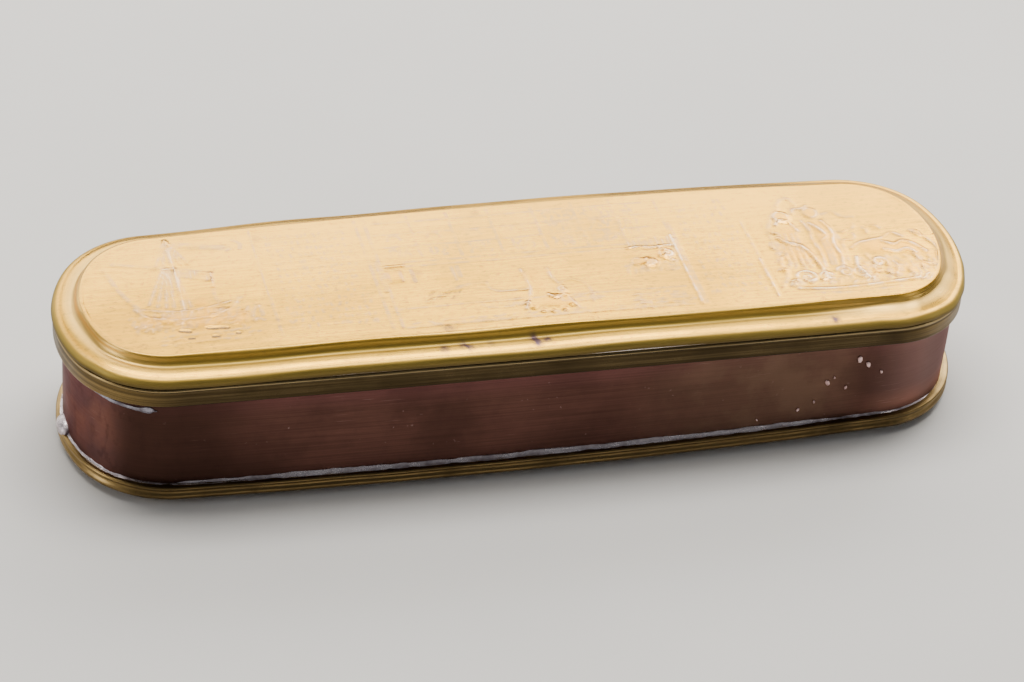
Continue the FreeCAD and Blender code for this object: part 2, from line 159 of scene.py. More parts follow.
half_length, half_width = 0.0825, 0.0235
end_radius, corner_radius, side_radius = 0.027, 0.0185, 1.280
end_x, side_y = half_length - end_radius, half_width - side_radius
apart = math.hypot(end_x, side_y)
end_reach, side_reach = end_radius - corner_radius, side_radius - corner_radius
along = (end_reach ** 2 - side_reach ** 2 + apart ** 2) / (2 * apart)
across = math.sqrt((end_radius - corner_radius) ** 2 - along ** 2)
corner_x = end_x - (along * end_x + across * side_y) / apart
corner_y = (along * side_y - across * end_x) / apart
end_turn = math.sin(math.atan2(corner_y, corner_x - end_x))
side_turn = math.sin(math.atan2(corner_y - side_y, corner_x))
seam_x = -0.05225
seam_angle = math.acos(seam_x / side_radius)


def drawn_section(*corners, longest=1.2, arc_step=18.0):
    """A section as (inset, height) in mm; a third number is the signed radius of an arc to there."""
    points = []
    for corner in corners:
        end = np.array(corner[:2], float)
        if not points:
            points.append(end)
            continue
        start = points[-1]
        chord = end - start
        length = float(np.linalg.norm(chord))
        if len(corner) == 2:
            count = max(1, math.ceil(length / longest))
            points += [start + chord * (n + 1) / count for n in range(count)]
            continue
        radius = corner[2]
        left = np.array([-chord[1], chord[0]]) / length
        rise = math.sqrt(max(radius ** 2 - length ** 2 / 4, 0.0))
        centre = (start + end) / 2 + left * math.copysign(rise, radius)
        first, last = (math.atan2(*(p - centre)[::-1]) for p in (start, end))
        sweep = (last - first + math.pi) % (2 * math.pi) - math.pi
        count = max(2, math.ceil(abs(math.degrees(sweep)) / arc_step),
                    math.ceil(abs(radius * sweep) / longest))
        for n in range(count):
            angle = first + sweep * (n + 1) / count
            points.append(centre + abs(radius) * np.array([math.cos(angle), math.sin(angle)]))
    if np.linalg.norm(points[-1] - points[0]) < 1e-6:
        points.pop()
    return points


def moulding_tree():
    """Geometry Nodes: bends a drawn section round the outline of the case and knocks it about."""
    tree = bpy.data.node_groups.new("moulding round the case", "GeometryNodeTree")
    sockets = tree.interface
    sockets.new_socket("Section", in_out="INPUT", socket_type="NodeSocketGeometry")
    for name in ("End Centre", "Corner Centre X", "Corner Centre Y", "Side Centre", "End Radius",
                 "Corner Radius", "Side Radius", "End Turn", "Side Turn", "Seam Angle", "Step",
                 "From", "To", "Waver", "Ragged", "Pitch", "Seed"):
        sockets.new_socket(name, in_out="INPUT", socket_type="NodeSocketFloat")
    sockets.new_socket("Open", in_out="INPUT", socket_type="NodeSocketBool")
    sockets.new_socket("Metal", in_out="INPUT", socket_type="NodeSocketMaterial")
    sockets.new_socket("Moulding", in_out="OUTPUT", socket_type="NodeSocketGeometry")
    given = tree.nodes.new("NodeGroupInput").outputs

    def choose(test, when_false, when_true):
        return add(tree, "GeometryNodeSwitch", {0: test, 1: when_false, 2: when_true},
                   input_type="FLOAT").outputs[0]

    def below(value, limit):
        return add(tree, "FunctionNodeCompare", {0: value, 1: limit}, data_type="FLOAT",
                   operation="LESS_THAN").outputs[0]

    # the outline is eight arcs: the way the edge faces says which arc it is on
    points_round = 1440
    ring = add(tree, "GeometryNodeCurvePrimitiveCircle", {"Resolution": points_round})
    index = tree.nodes.new("GeometryNodeInputIndex").outputs[0]
    angle = maths(tree, "ADD", times(tree, index, 2 * math.pi / points_round), given["Seam Angle"])
    face_x, face_y = maths(tree, "COSINE", angle), maths(tree, "SINE", angle)
    steep = maths(tree, "ABSOLUTE", face_y)
    on_end, on_corner = below(steep, given["End Turn"]), below(steep, given["Side Turn"])
    centre_x = choose(on_end, choose(on_corner, 0.0, given["Corner Centre X"]), given["End Centre"])
    centre_y = choose(on_end, choose(on_corner, given["Side Centre"], given["Corner Centre Y"]), 0.0)
    radius = choose(on_end, choose(on_corner, given["Side Radius"], given["Corner Radius"]),
                    given["End Radius"])

    def reach(face, centre):
        return maths(tree, "ADD", times(tree, maths(tree, "SIGN", face), centre),
                     times(tree, face, radius))

    place = add(tree, "ShaderNodeCombineXYZ", {0: reach(face_x, centre_x), 1: reach(face_y, centre_y)})
    path = add(tree, "GeometryNodeSetPosition", {"Geometry": ring.outputs["Curve"],
                                                 "Position": place.outputs[0]}).outputs[0]
    path = add(tree, "GeometryNodeResampleCurve", {"Curve": path, "Length": given["Step"]},
               mode="LENGTH").outputs[0]
    parted = add(tree, "GeometryNodeSetSplineCyclic", {"Geometry": path, "Cyclic": False}).outputs[0]
    cut = tree.nodes.new("GeometryNodeTrimCurve")
    cut.mode = "LENGTH"
    tree.links.new(parted, cut.inputs["Curve"])
    tree.links.new(given["From"], cut.inputs[4])
    tree.links.new(given["To"], cut.inputs[5])
    path = add(tree, "GeometryNodeSwitch", {0: given["Open"], 1: path, 2: cut.outputs[0]},
               input_type="GEOMETRY").outputs[0]
    path = add(tree, "GeometryNodeSetCurveNormal", {"Curve": path}, mode="Z_UP").outputs[0]

    def keep(geometry, name, value, data_type="FLOAT"):
        return add(tree, "GeometryNodeStoreNamedAttribute",
                   {"Geometry": geometry, "Name": name, "Value": value}, data_type=data_type).outputs[0]

    def recall(name, data_type="FLOAT"):
        return add(tree, "GeometryNodeInputNamedAttribute", {"Name": name},
                   data_type=data_type).outputs[0]

    run = add(tree, "GeometryNodeSplineParameter").outputs["Length"]
    path = keep(path, "run", run)
    outward = add(tree, "GeometryNodeInputNormal").outputs[0]
    path = keep(path, "outward", outward, "FLOAT_VECTOR")
    section = keep(given["Section"], "rise", run)
    body = add(tree, "GeometryNodeCurveToMesh", {"Curve": path, "Profile Curve": section,
                                                 "Fill Caps": given["Open"]}).outputs[0]
    lay = add(tree, "ShaderNodeCombineXYZ", {0: recall("run"), 1: recall("rise")}).outputs[0]
    body = keep(body, "lay", lay, "FLOAT_VECTOR")

    # knocks and waver: the strip gives in and out, and solder also up and down
    spot = add(tree, "GeometryNodeInputPosition").outputs[0]

    def knocks(shift, detail):
        noise = add(tree, "ShaderNodeTexNoise",
                    {"Vector": spot, "W": maths(tree, "ADD", given["Seed"], shift),
                     "Scale": maths(tree, "DIVIDE", 1.0, given["Pitch"]), "Detail": detail},
                    noise_dimensions="4D")
        return maths(tree, "SUBTRACT", noise.outputs["Fac"], 0.5)

    out = times(tree, knocks(0.0, 2.0), given["Waver"])
    up = times(tree, knocks(40.0, 3.0), given["Ragged"])
    outward_push = add(tree, "ShaderNodeVectorMath",
                       {0: recall("outward", "FLOAT_VECTOR"), "Scale": out}, operation="SCALE").outputs[0]
    upward_push = add(tree, "ShaderNodeCombineXYZ", {2: up}).outputs[0]
    push = add(tree, "ShaderNodeVectorMath", {0: outward_push, 1: upward_push},
               operation="ADD").outputs[0]
    body = add(tree, "GeometryNodeSetPosition", {"Geometry": body, "Offset": push}).outputs[0]
    body = add(tree, "GeometryNodeRealizeInstances", {0: body}).outputs[0]
    body = add(tree, "GeometryNodeSetMaterial",
               {"Geometry": body, "Material": given["Metal"]}).outputs[0]
    add(tree, "NodeGroupOutput", {0: body})
    return tree


moulding = moulding_tree()


def plain_piece(source, name):
    """Takes a tree's result as a plain mesh object and drops the object that carried the tree."""
    bpy.context.view_layer.update()
    evaluated = source.evaluated_get(bpy.context.evaluated_depsgraph_get())
    mesh = bpy.data.meshes.new_from_object(evaluated)
    piece = bpy.data.objects.new(name, mesh)
    bpy.context.collection.objects.link(piece)
    source.modifiers.clear()
    bpy.data.objects.remove(source)
    return piece


def bend_moulding(name, section, metal, step=0.8 * MM, waver=0.0, ragged=0.0, pitch=0.02, seed=1.0,
                  part=None):
    """Bends a section round the outline; part is (from, to) along it when it doesn't close."""
    curve = bpy.data.curves.new(name + " section", "CURVE")
    curve.dimensions = "3D"
    spline = curve.splines.new("POLY")
    spline.points.add(len(section) - 1)
    for point, (inset, height) in zip(spline.points, section):
        point.co = (-inset * MM, -height * MM, 0.0, 1.0)
    spline.use_cyclic_u = True
    carrier = bpy.data.objects.new(name + " carrier", curve)
    bpy.context.collection.objects.link(carrier)
    modifier = carrier.modifiers.new("moulding", "NODES")
    modifier.node_group = moulding
    sizes = {"End Centre": end_x, "Corner Centre X": corner_x, "Corner Centre Y": corner_y,
             "Side Centre": side_y, "End Radius": end_radius, "Corner Radius": corner_radius,
             "Side Radius": side_radius, "End Turn": end_turn, "Side Turn": side_turn,
             "Seam Angle": seam_angle, "Step": step, "From": part[0] if part else 0.0,
             "To": part[1] if part else 0.0, "Waver": waver, "Ragged": ragged, "Pitch": pitch,
             "Seed": seed, "Open": bool(part), "Metal": metal}
    for item in moulding.interface.items_tree:
        if item.in_out == "INPUT" and item.name in sizes:
            modifier[item.identifier] = sizes[item.name]
    piece = plain_piece(carrier, name)
    piece.data.shade_smooth()
    piece.data.set_sharp_from_angle(angle=math.radians(35.0))
    return piece


# base rim brass: dark olive, partly tarnish and partly painted shade on its outward face
olive_brass = worked_metal("olive base brass partly in painted shade", (0.26, 0.175, 0.07, 1.0), (0.085, 0.058, 0.024, 1.0),
                           (0.03, 0.02, 0.012, 1.0), shine=(0.25, 0.45), patches=70.0, streak=0.6,
                           laid=True)


def finish_so_far(material):
    """A metal's tree, its surface and the tone that it has so far."""
    tree = material.node_tree
    surface = tree.nodes["Principled BSDF"]
    return tree, surface, surface.inputs["Base Color"].links[0].from_socket


def paint_end_highlights(material, start, full, share, colour):
    """Paints highlights along the drawn lines towards both ends of the case, from one distance out to
    another.
    """
    tree, surface, tone = finish_so_far(material)
    spot = add(tree, "ShaderNodeSeparateXYZ", {0: in_place(tree)})
    end = between(tree, maths(tree, "ABSOLUTE", spot.outputs[0]), start, full)
    lines = grain(tree, on_sheet(tree), 1.0, 3.0, (14.0, 1700.0, 1700.0), (2.0, 5.0, 1.0))
    lines = between(tree, lines, 0.6, 0.4, 0.3, 1.0)
    # share of painted highlight: it rises towards the ends and is broken by the drawn lines
    worn = times(tree, end, lines, share)
    tree.links.new(blend_colours(tree, worn, tone, colour), surface.inputs["Base Color"])


# painted highlights on the base rim towards both ends
paint_end_highlights(olive_brass, 0.066, 0.080, 0.32, (0.56, 0.38, 0.14, 1.0))
base_rim = bend_moulding("base_rim", drawn_section(
    (1.95, 2.3), (1.95, 4.0), (0.85, 4.0), (0.5, 3.65, 0.36), (0.75, 2.6, -0.75), (0.75, 1.45, 0.72),
    (1.2, 1.45), (1.2, 2.3), (1.95, 2.3)), olive_brass, waver=0.35 * MM, pitch=0.012, seed=3.0)


def smoothstep(value):
    """0 below 0, 1 above 1, and a smooth run between."""
    value = np.clip(value, 0.0, 1.0)
    return value * value * (3.0 - 2.0 * value)


def reshape(piece, change):
    """Moves a piece's points by a rule on their coordinates."""
    mesh = piece.data
    spots = np.empty(len(mesh.vertices) * 3, np.float32)
    mesh.vertices.foreach_get("co", spots)
    x, y, z = spots.reshape(-1, 3).T.astype(float)
    mesh.vertices.foreach_set("co", np.stack(change(x, y, z), 1).astype(np.float32).ravel())
    mesh.update()


def settle(x, y, z):
    """The rim was soldered on a hair to the right, so it stands further out at that end."""
    return x + 0.4 * MM, y, z


reshape(base_rim, settle)
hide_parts("base_rim_band")
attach(base_rim, "case")


# ---- Copper wall -----------------------------------------------------------------------------
# The wall is one strip of copper bent round and butted at the back, where a line of solder closes
# it.  It has gone dark red-brown, mottled and rubbed along its length; the join itself stays grey.

def lid_hang(x, y, z, ease=0.0):
    """The hand-made lid isn't level: its front edge arches in the middle and hangs at its corners."""
    forward = smoothstep((0.020 - y) / 0.036)
    end = x / half_length
    return (x, y + ease * smoothstep(-y / 0.012) * (1.0 - end ** 2),
            z + forward * (0.4 - 0.8 * end - 1.6 * end ** 2) * MM)


copper = worked_metal("dark rubbed copper", (0.115, 0.050, 0.038, 1.0), (0.066, 0.030, 0.022, 1.0),
                      (0.26, 0.16, 0.15, 1.0), shine=(0.3, 0.48), patches=40.0, streak=0.6, speckle=0.5,
                      metallic=0.75, laid=True, bump=0.25)
copper_surface = copper.node_tree.nodes["Principled BSDF"]
copper_surface.inputs["Specular Tint"].default_value = (0.42, 0.30, 0.32, 1.0)


def age_wall(material):
    """Painted highlights of rosy brown over the left end and lighter over the right, a painted warm patch
    low on the right, a painted greyish reflection near the right tip, a painted shade band at the front
    left, dark mottling at the left, a purple line under the lid, an olive stretch on the right, and
    scratches.
    """
    tree, surface, tone = finish_so_far(material)
    solid = in_place(tree)
    spot = add(tree, "ShaderNodeSeparateXYZ", {0: solid}).outputs
    cloud = between(tree, grain(tree, solid, 110.0, 5.0, shift=(2.0, 2.0, 8.0)), 0.35, 0.65)
    # painted highlight: the left end is painted a lighter rosy brown
    left = between(tree, spot[0], -0.070, -0.076)
    tone = blend_colours(tree, times(tree, left, 0.8), tone, (0.19, 0.082, 0.062, 1.0))
    bruise = times(tree, left, cloud, 0.7)
    tone = blend_colours(tree, bruise, tone, (0.080, 0.045, 0.048, 1.0))
    rash = between(tree, grain(tree, solid, 520.0, 3.0, (1.0, 1.0, 0.5), (9.0, 4.0, 2.0)), 0.52, 0.66)
    rash = times(tree, rash, between(tree, spot[0], -0.055, -0.072, 0.08, 0.36))
    tone = blend_colours(tree, rash, tone, (0.045, 0.020, 0.018, 1.0))
    under = times(tree, between(tree, spot[2], 0.0165, 0.0215), 0.3)
    tone = blend_colours(tree, under, tone, (0.17, 0.060, 0.065, 1.0))
    # painted highlight: the right end is painted lighter
    right = times(tree, between(tree, spot[0], 0.058, 0.074), 0.55)
    tone = blend_colours(tree, right, tone, (0.30, 0.18, 0.165, 1.0))
    # painted highlight: a lighter warm patch low on the right end
    painted_glow = times(tree, between(tree, spot[0], 0.054, 0.072), between(tree, spot[2], 0.010, 0.005), 0.6)
    tone = blend_colours(tree, painted_glow, tone, (0.36, 0.16, 0.11, 1.0))
    olive = times(tree, between(tree, spot[0], 0.010, 0.038), between(tree, spot[0], 0.062, 0.048),
                  between(tree, cloud, 0.0, 1.0, 0.45, 0.8))
    tone = blend_colours(tree, olive, tone, (0.150, 0.088, 0.058, 1.0))
    # painted shade: a darker band on the front left, where the wall turns towards the end
    corner = times(tree, between(tree, spot[0], -0.0765, -0.0715),
                   between(tree, spot[0], -0.044, -0.063))
    tone = blend_colours(tree, times(tree, corner, 0.75), tone, (0.032, 0.014, 0.009, 1.0))
    # painted reflection: a greyish upright band near the right tip
    painted_sheen = times(tree, between(tree, spot[0], 0.0690, 0.0730), between(tree, spot[0], 0.0780, 0.0750))
    tone = blend_colours(tree, times(tree, painted_sheen, 0.4), tone, (0.15, 0.11, 0.10, 1.0))
    scratch = grain(tree, on_sheet(tree), 1.0, 2.0, (110.0, 5200.0, 5200.0), (8.0, 3.0, 2.0))
    scratch = between(tree, scratch, 0.64, 0.74)
    where = between(tree, grain(tree, solid, 60.0, 2.0, shift=(6.0, 1.0, 3.0)), 0.5, 0.7)
    scratch = times(tree, scratch, where, 0.5)
    tone = blend_colours(tree, scratch, tone, (0.50, 0.30, 0.27, 1.0))
    tree.links.new(tone, surface.inputs["Base Color"])


age_wall(copper)
wall = bend_moulding("copper_wall", drawn_section(
    (2.8, 2.3), (2.8, 25.9), (2.0, 25.9), (2.0, 2.3), (2.8, 2.3), longest=1.5), copper,
    step=0.5 * MM, waver=0.45 * MM, pitch=0.028, seed=8.0, part=(0.0, 1.0))


def under_lid(x, y, z):
    """The wall's top edge was trimmed to follow the lid, and its right end bulges a little."""
    bulge = 0.4 * MM * smoothstep((x - 0.060) / 0.020)
    trimmed = (lid_hang(x, y, z)[2] - z) * smoothstep((z - 0.010) / 0.0159)
    return x + bulge, y, z + trimmed


reshape(wall, under_lid)
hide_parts("side_band")
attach(wall, "case")

grey_solder = worked_metal("grey tin solder", (0.92, 0.84, 0.86, 1.0), (0.26, 0.21, 0.23, 1.0),
                           (0.12, 0.09, 0.08, 1.0), shine=(0.2, 0.4), patches=330.0, streak=0.4,
                           speckle=0.8, metallic=0.8, bump=0.8)
seam_metal = worked_metal("dull seam solder", (0.30, 0.25, 0.24, 1.0), (0.12, 0.085, 0.075, 1.0),
                          (0.06, 0.04, 0.035, 1.0), shine=(0.3, 0.5), patches=420.0, metallic=0.8,
                           bump=0.6)
dress("seam_solder", seam_metal)


# ---- Solder between wall and base ------------------------------------------------------------
# Soft solder was run into the corner where the wall meets the base rim.  It lies in a grey fillet
# with a ragged edge that has crept down over the brass.

base_fillet = bend_moulding("base_fillet", drawn_section(
    (2.15, 3.4), (2.15, 4.62), (1.95, 4.6), (1.3, 4.05, -1.2), (1.3, 3.4), (2.15, 3.4), longest=0.6),
    grey_solder, step=0.45 * MM, waver=0.6 * MM, ragged=1.0 * MM, pitch=0.0035, seed=5.0)


def thin_out(x, y, z):
    """Little solder stayed on round the front left corner, and it lies thin round both ends."""
    bare = np.exp(-((x + 0.061) / 0.010) ** 4) * (y < 0.0)
    thin = 1.0 - 0.014 * smoothstep((np.abs(x + 0.008) - 0.050) / 0.012)
    middle = np.sign(x) * end_x
    return middle + (x - middle) * thin, y * thin, z - 0.35 * MM * bare * (z > 0.0042)


reshape(base_fillet, thin_out)
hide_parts("base_solder")
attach(base_fillet, "case")


# ---- Hinge -----------------------------------------------------------------------------------
# A brass hinge of seven knuckles: one leaf is soldered to the wall and one to the lid rim, and
# the pin's ends are hammered over.  The knuckles are worn bright by the turning.

hinge_brass = worked_metal("worn hinge brass", (0.36, 0.24, 0.095, 1.0), (0.13, 0.085, 0.038, 1.0),
                           (0.04, 0.028, 0.016, 1.0), shine=(0.24, 0.46), patches=170.0, streak=0.6,
                           speckle=0.8, bump=0.5)
for part in ("case_hinge_leaf", "lid_hinge_leaf", "hinge_pin",
             *(f"case_knuckle_{n}" for n in (1, 2, 3, 4)), *(f"lid_knuckle_{n}" for n in (1, 2, 3))):
    dress(part, hinge_brass)
for part in ("case_hinge_solder", "lid_hinge_solder"):
    dress(part, seam_metal)


# ---- Lid cover -------------------------------------------------------------------------------
# The lid is one sheet of brass: a flat panel chased from both sides with small scenes, a hollow
# step round it, a sloping ledge and a rolled edge.  The low relief is rubbed almost smooth.

def outline_spot(angle, inset):
    """The outline's point where its edge faces along the angle, moved in by the inset (mm arrays)."""
    face_x, face_y = np.cos(angle), np.sin(angle)
    steep = np.abs(face_y)
    on_end, on_corner = steep < end_turn, steep < side_turn
    centre_x = np.where(on_end, end_x, np.where(on_corner, corner_x, 0.0)) / MM
    centre_y = np.where(on_end, 0.0, np.where(on_corner, corner_y, side_y)) / MM
    radius = np.where(on_end, end_radius, np.where(on_corner, corner_radius, side_radius)) / MM - inset
    return (np.sign(face_x) * centre_x + radius * face_x, np.sign(face_y) * centre_y + radius * face_y)


def even_angles(count, inset):
    """Facing angles that part the outline's front half, left tip to right tip, into even steps."""
    fine = np.linspace(-math.pi, 0.0, 20001)
    x, y = outline_spot(fine, inset)
    length = np.concatenate([[0.0], np.cumsum(np.hypot(np.diff(x), np.diff(y)))])
    return np.interp(np.linspace(0.0, length[-1], count + 1), length, fine)


def unevenness(x, y, pitch, seed):
    """Gentle hammered unevenness between about -1 and 1, with bumps a pitch apart (mm)."""
    dice = np.random.default_rng(seed)
    total = np.zeros_like(x)
    for _ in range(7):
        turn, phase = dice.uniform(0.0, 2 * math.pi, 2)
        length = pitch * dice.uniform(0.7, 1.6)
        total += np.sin((x * math.cos(turn) + y * math.sin(turn)) * 2 * math.pi / length + phase)
    return total / 3.0


class Panel:
    """The flat of the lid as the chaser sees it: every stroke raises or sinks the sheet a little."""

    def __init__(self, x, y):
        self.x, self.y = x, y
        self.height, self.crest = np.zeros_like(x), np.zeros_like(x)

    def stroke(self, points, width, height):
        """A rounded line through the points, raised by height, or sunk if it is below 0."""
        points = np.array(points, float)
        low, high = points.min(0) - 3 * width, points.max(0) + 3 * width
        near = (self.x > low[0]) & (self.x < high[0]) & (self.y > low[1]) & (self.y < high[1])
        x, y = self.x[near], self.y[near]
        best = np.full(x.shape, 1e9)
        for (ax, ay), (bx, by) in zip(points[:-1], points[1:]):
            dx, dy = bx - ax, by - ay
            share = np.clip(((x - ax) * dx + (y - ay) * dy) / (dx * dx + dy * dy + 1e-12), 0.0, 1.0)
            best = np.minimum(best, (x - ax - share * dx) ** 2 + (y - ay - share * dy) ** 2)
        self.height[near] += height * np.exp(-best / width ** 2)
        # the crest says where light is painted: a pale highlight along raised strokes, shade along sunk
        # ones
        rubbing = math.copysign(min(1.0, 0.35 + 2.2 * abs(height)), height)
        drawn = rubbing * np.exp(-best / (width + 0.1) ** 2)
        self.crest[near] = np.where(np.abs(drawn) > np.abs(self.crest[near]), drawn, self.crest[near])

    def sweep(self, points, width, height):
        """A flowing stroke: the points are joined by a smooth curve first."""
        points = np.array(points, float)
        padded = np.vstack([2 * points[0] - points[1], points, 2 * points[-1] - points[-2]])
        run = []
        for a, b, c, d in zip(padded, padded[1:], padded[2:], padded[3:]):
            for t in (0.0, 0.2, 0.4, 0.6, 0.8):
                run.append(0.5 * (2 * b + (c - a) * t + (2 * a - 5 * b + 4 * c - d) * t * t
                                  + (3 * b - a - 3 * c + d) * t ** 3))
        self.stroke(run + [points[-1]], width, height)

    def curl(self, x, y, size, start, turns, width, height):
        """A scroll that winds in to its middle; start is the way it begins, in degrees."""
        share = np.linspace(0.0, 1.0, int(abs(turns) * 14) + 3)
        turn = np.radians(start) + turns * 2 * math.pi * share
        reach = size * (1.0 - 0.85 * share)
        self.stroke(np.stack([x + reach * np.cos(turn), y + reach * np.sin(turn)], 1), width, height)

    def leaf(self, x, y, size, turn, height):
        """A small bent leaf that lies along turn, in degrees."""
        ahead = np.array([math.cos(math.radians(turn)), math.sin(math.radians(turn))]) * size
        side = np.array([-ahead[1], ahead[0]]) * 0.4
        middle = np.array([x, y])
        self.sweep([middle - ahead, middle + side, middle + ahead], 0.26, height)

    def boss(self, x, y, long, wide, turn, height):
        """A soft rounded swelling, turned by degrees."""
        angle = math.radians(turn)
        u = ((self.x - x) * math.cos(angle) + (self.y - y) * math.sin(angle)) / long
        v = ((self.y - y) * math.cos(angle) - (self.x - x) * math.sin(angle)) / wide
        self.height += height * np.exp(-(u * u + v * v) ** 1.5)

    def nicks(self, left, right, low, high, rows, gap, length, height, seed, lean=90.0):
        """Rows of short worn punch marks, a gap apart, leaning by degrees."""
        dice = np.random.default_rng(seed)
        for row in range(rows):
            level = low + (high - low) * (row + 0.5) / rows
            x = left + gap * dice.uniform(0.2, 1.0)
            while x < right:
                size = length * dice.uniform(0.4, 1.2)
                angle = math.radians(lean + dice.uniform(-25, 25))
                y = level + dice.uniform(-0.2, 0.2)
                step = size / 2 * np.array([math.cos(angle), math.sin(angle)])
                self.stroke([(x - step[0], y - step[1]), (x + step[0], y + step[1])], 0.28,
                            height * dice.uniform(0.3, 1.3))
                x += gap * dice.uniform(0.6, 1.8)


def chase_frames(panel):
    """The upright lines between the scenes, and the worn rows of marks in the plain fields."""
    for x, top, foot, height in ((-45.6, 17, -15, 0.10), (-45.1, 17, -15, -0.06), (-26.7, 17, -16, 0.10),
                                 (-25.0, 17, -16, 0.12), (-25.6, 4, -5, 0.14), (28.5, 16, 5, 0.08),
                                 (28.5, 5, -16, 0.30), (29.3, 9, -16, 0.12), (29.0, 4, -5, 0.16),
                                 (42.7, 8, -4, 0.12), (42.7, -4, -15, 0.24), (43.1, 8, -15, -0.08)):
        panel.stroke([(x, top), (x + 0.2, foot)], 0.26, height)
    panel.nicks(-43.5, -28.5, -14, 15, 15, 1.0, 0.9, 0.045, 11)
    panel.nicks(30.8, 41.3, -14, 15, 15, 1.0, 0.9, 0.040, 12)
    panel.nicks(-23.0, 27.0, -16.4, -14.6, 2, 1.5, 1.3, 0.07, 13, lean=8.0)


def chase_ship(panel):
    """Left scene: a ship with a tall mast and rigging, over short broken waves."""
    panel.stroke([(-60.7, 16.6), (-60.3, 5), (-60.4, -5)], 0.34, 0.22)
    for foot in (-63.2, -62.0, -58.9, -57.6):
        panel.stroke([(-60.7, 16), (foot, 8.4)], 0.22, 0.16)
    for foot_x, foot_y in ((-66.2, -2.5), (-64.8, -3.2), (-63.4, -3.8), (-62.1, -4), (-59.1, -4.2)):
        panel.stroke([(-61.2 + (foot_x + 62) * 0.25, 7.4), (foot_x, foot_y)], 0.25, 0.17)
    panel.sweep([(-70.5, 10), (-65.5, 8.5), (-60.4, 7.3), (-54.2, 5.1)], 0.5, 0.07)
    for n in range(7):
        panel.stroke([(-59.6 + n * 0.85, 6.8 - n * 0.28), (-59.5 + n * 0.85, 4.8 - n * 0.3)], 0.24, 0.16)
    panel.stroke([(-54.3, 5.0), (-54.5, 1.2)], 0.26, 0.2)
    panel.sweep([(-72.3, 8.6), (-70.9, 3.2), (-69.2, -1), (-67.6, -4)], 0.4, 0.10)
    panel.sweep([(-54.4, 1), (-54.8, -1.5), (-54, -4)], 0.3, 0.12)
    panel.sweep([(-60, 14.4), (-56, 13.5), (-51.2, 12.4)], 0.8, 0.09)
    panel.sweep([(-48.9, 14.3), (-47.8, 13.2), (-48, 11.7)], 0.34, 0.10)
    panel.sweep([(-50.8, 12.9), (-49.8, 12.0), (-50.4, 11.4)], 0.3, 0.12)
    for x, y, long, wide, turn, height in (
            (-66.2, -7.6, 2.8, 1.5, 10, 0.2), (-61.5, -7.2, 3.2, 1.6, -5, 0.22),
            (-57.4, -3.2, 1.5, 1.3, 0, 0.2), (-55.2, -6.6, 2.6, 1.9, -20, 0.26),
            (-51.6, -8.4, 1.9, 2.1, 0, 0.24), (-57.8, -9.3, 3.4, 1.1, 5, 0.18),
            (-63.4, -3.6, 1.4, 1.0, 20, 0.16)):
        panel.boss(x, y, long, wide, turn, height)
    panel.sweep([(-68.6, -3.4), (-66.6, -6.2), (-62, -7.6), (-56.4, -7.4), (-52.6, -5.6), (-50.6, -2.6)],
                0.42, 0.18)
    panel.sweep([(-67.4, -3.6), (-63, -4.9), (-57.5, -4.9), (-52.2, -3.4)], 0.28, 0.2)
    for n in range(9):
        panel.stroke([(-65.6 + n * 1.5, -5.0 - 0.25 * (n % 2)), (-65.9 + n * 1.55, -6.7)], 0.2, 0.16)
    for n, (x, y) in enumerate(((-68, -8.6), (-65, -9.4), (-61.4, -9), (-57.6, -9.7), (-54, -8.9),
                                (-50.8, -8), (-48.6, -9.8), (-52.4, -10.6))):
        panel.leaf(x, y, 1.0 + 0.2 * (n % 3), 20.0 - 15.0 * (n % 4), 0.12)
    panel.nicks(-70, -47.5, -10.4, -5.2, 4, 0.95, 1.0, 0.15, 21, lean=70.0)
    panel.nicks(-66, -49, -14.6, -11.4, 3, 1.3, 1.0, 0.09, 22, lean=20.0)
    for start, end in (((-62.3, -10.5), (-60.4, -11.1)), ((-57.6, -10.6), (-55.9, -10.9)),
                       ((-55.4, -10.8), (-53.9, -11.1)), ((-61, -12.9), (-60.1, -13)),
                       ((-57, -13), (-55.8, -13.1)), ((-53, -12.7), (-52.2, -12.8))):
        panel.stroke([start, end], 0.24, -0.34)


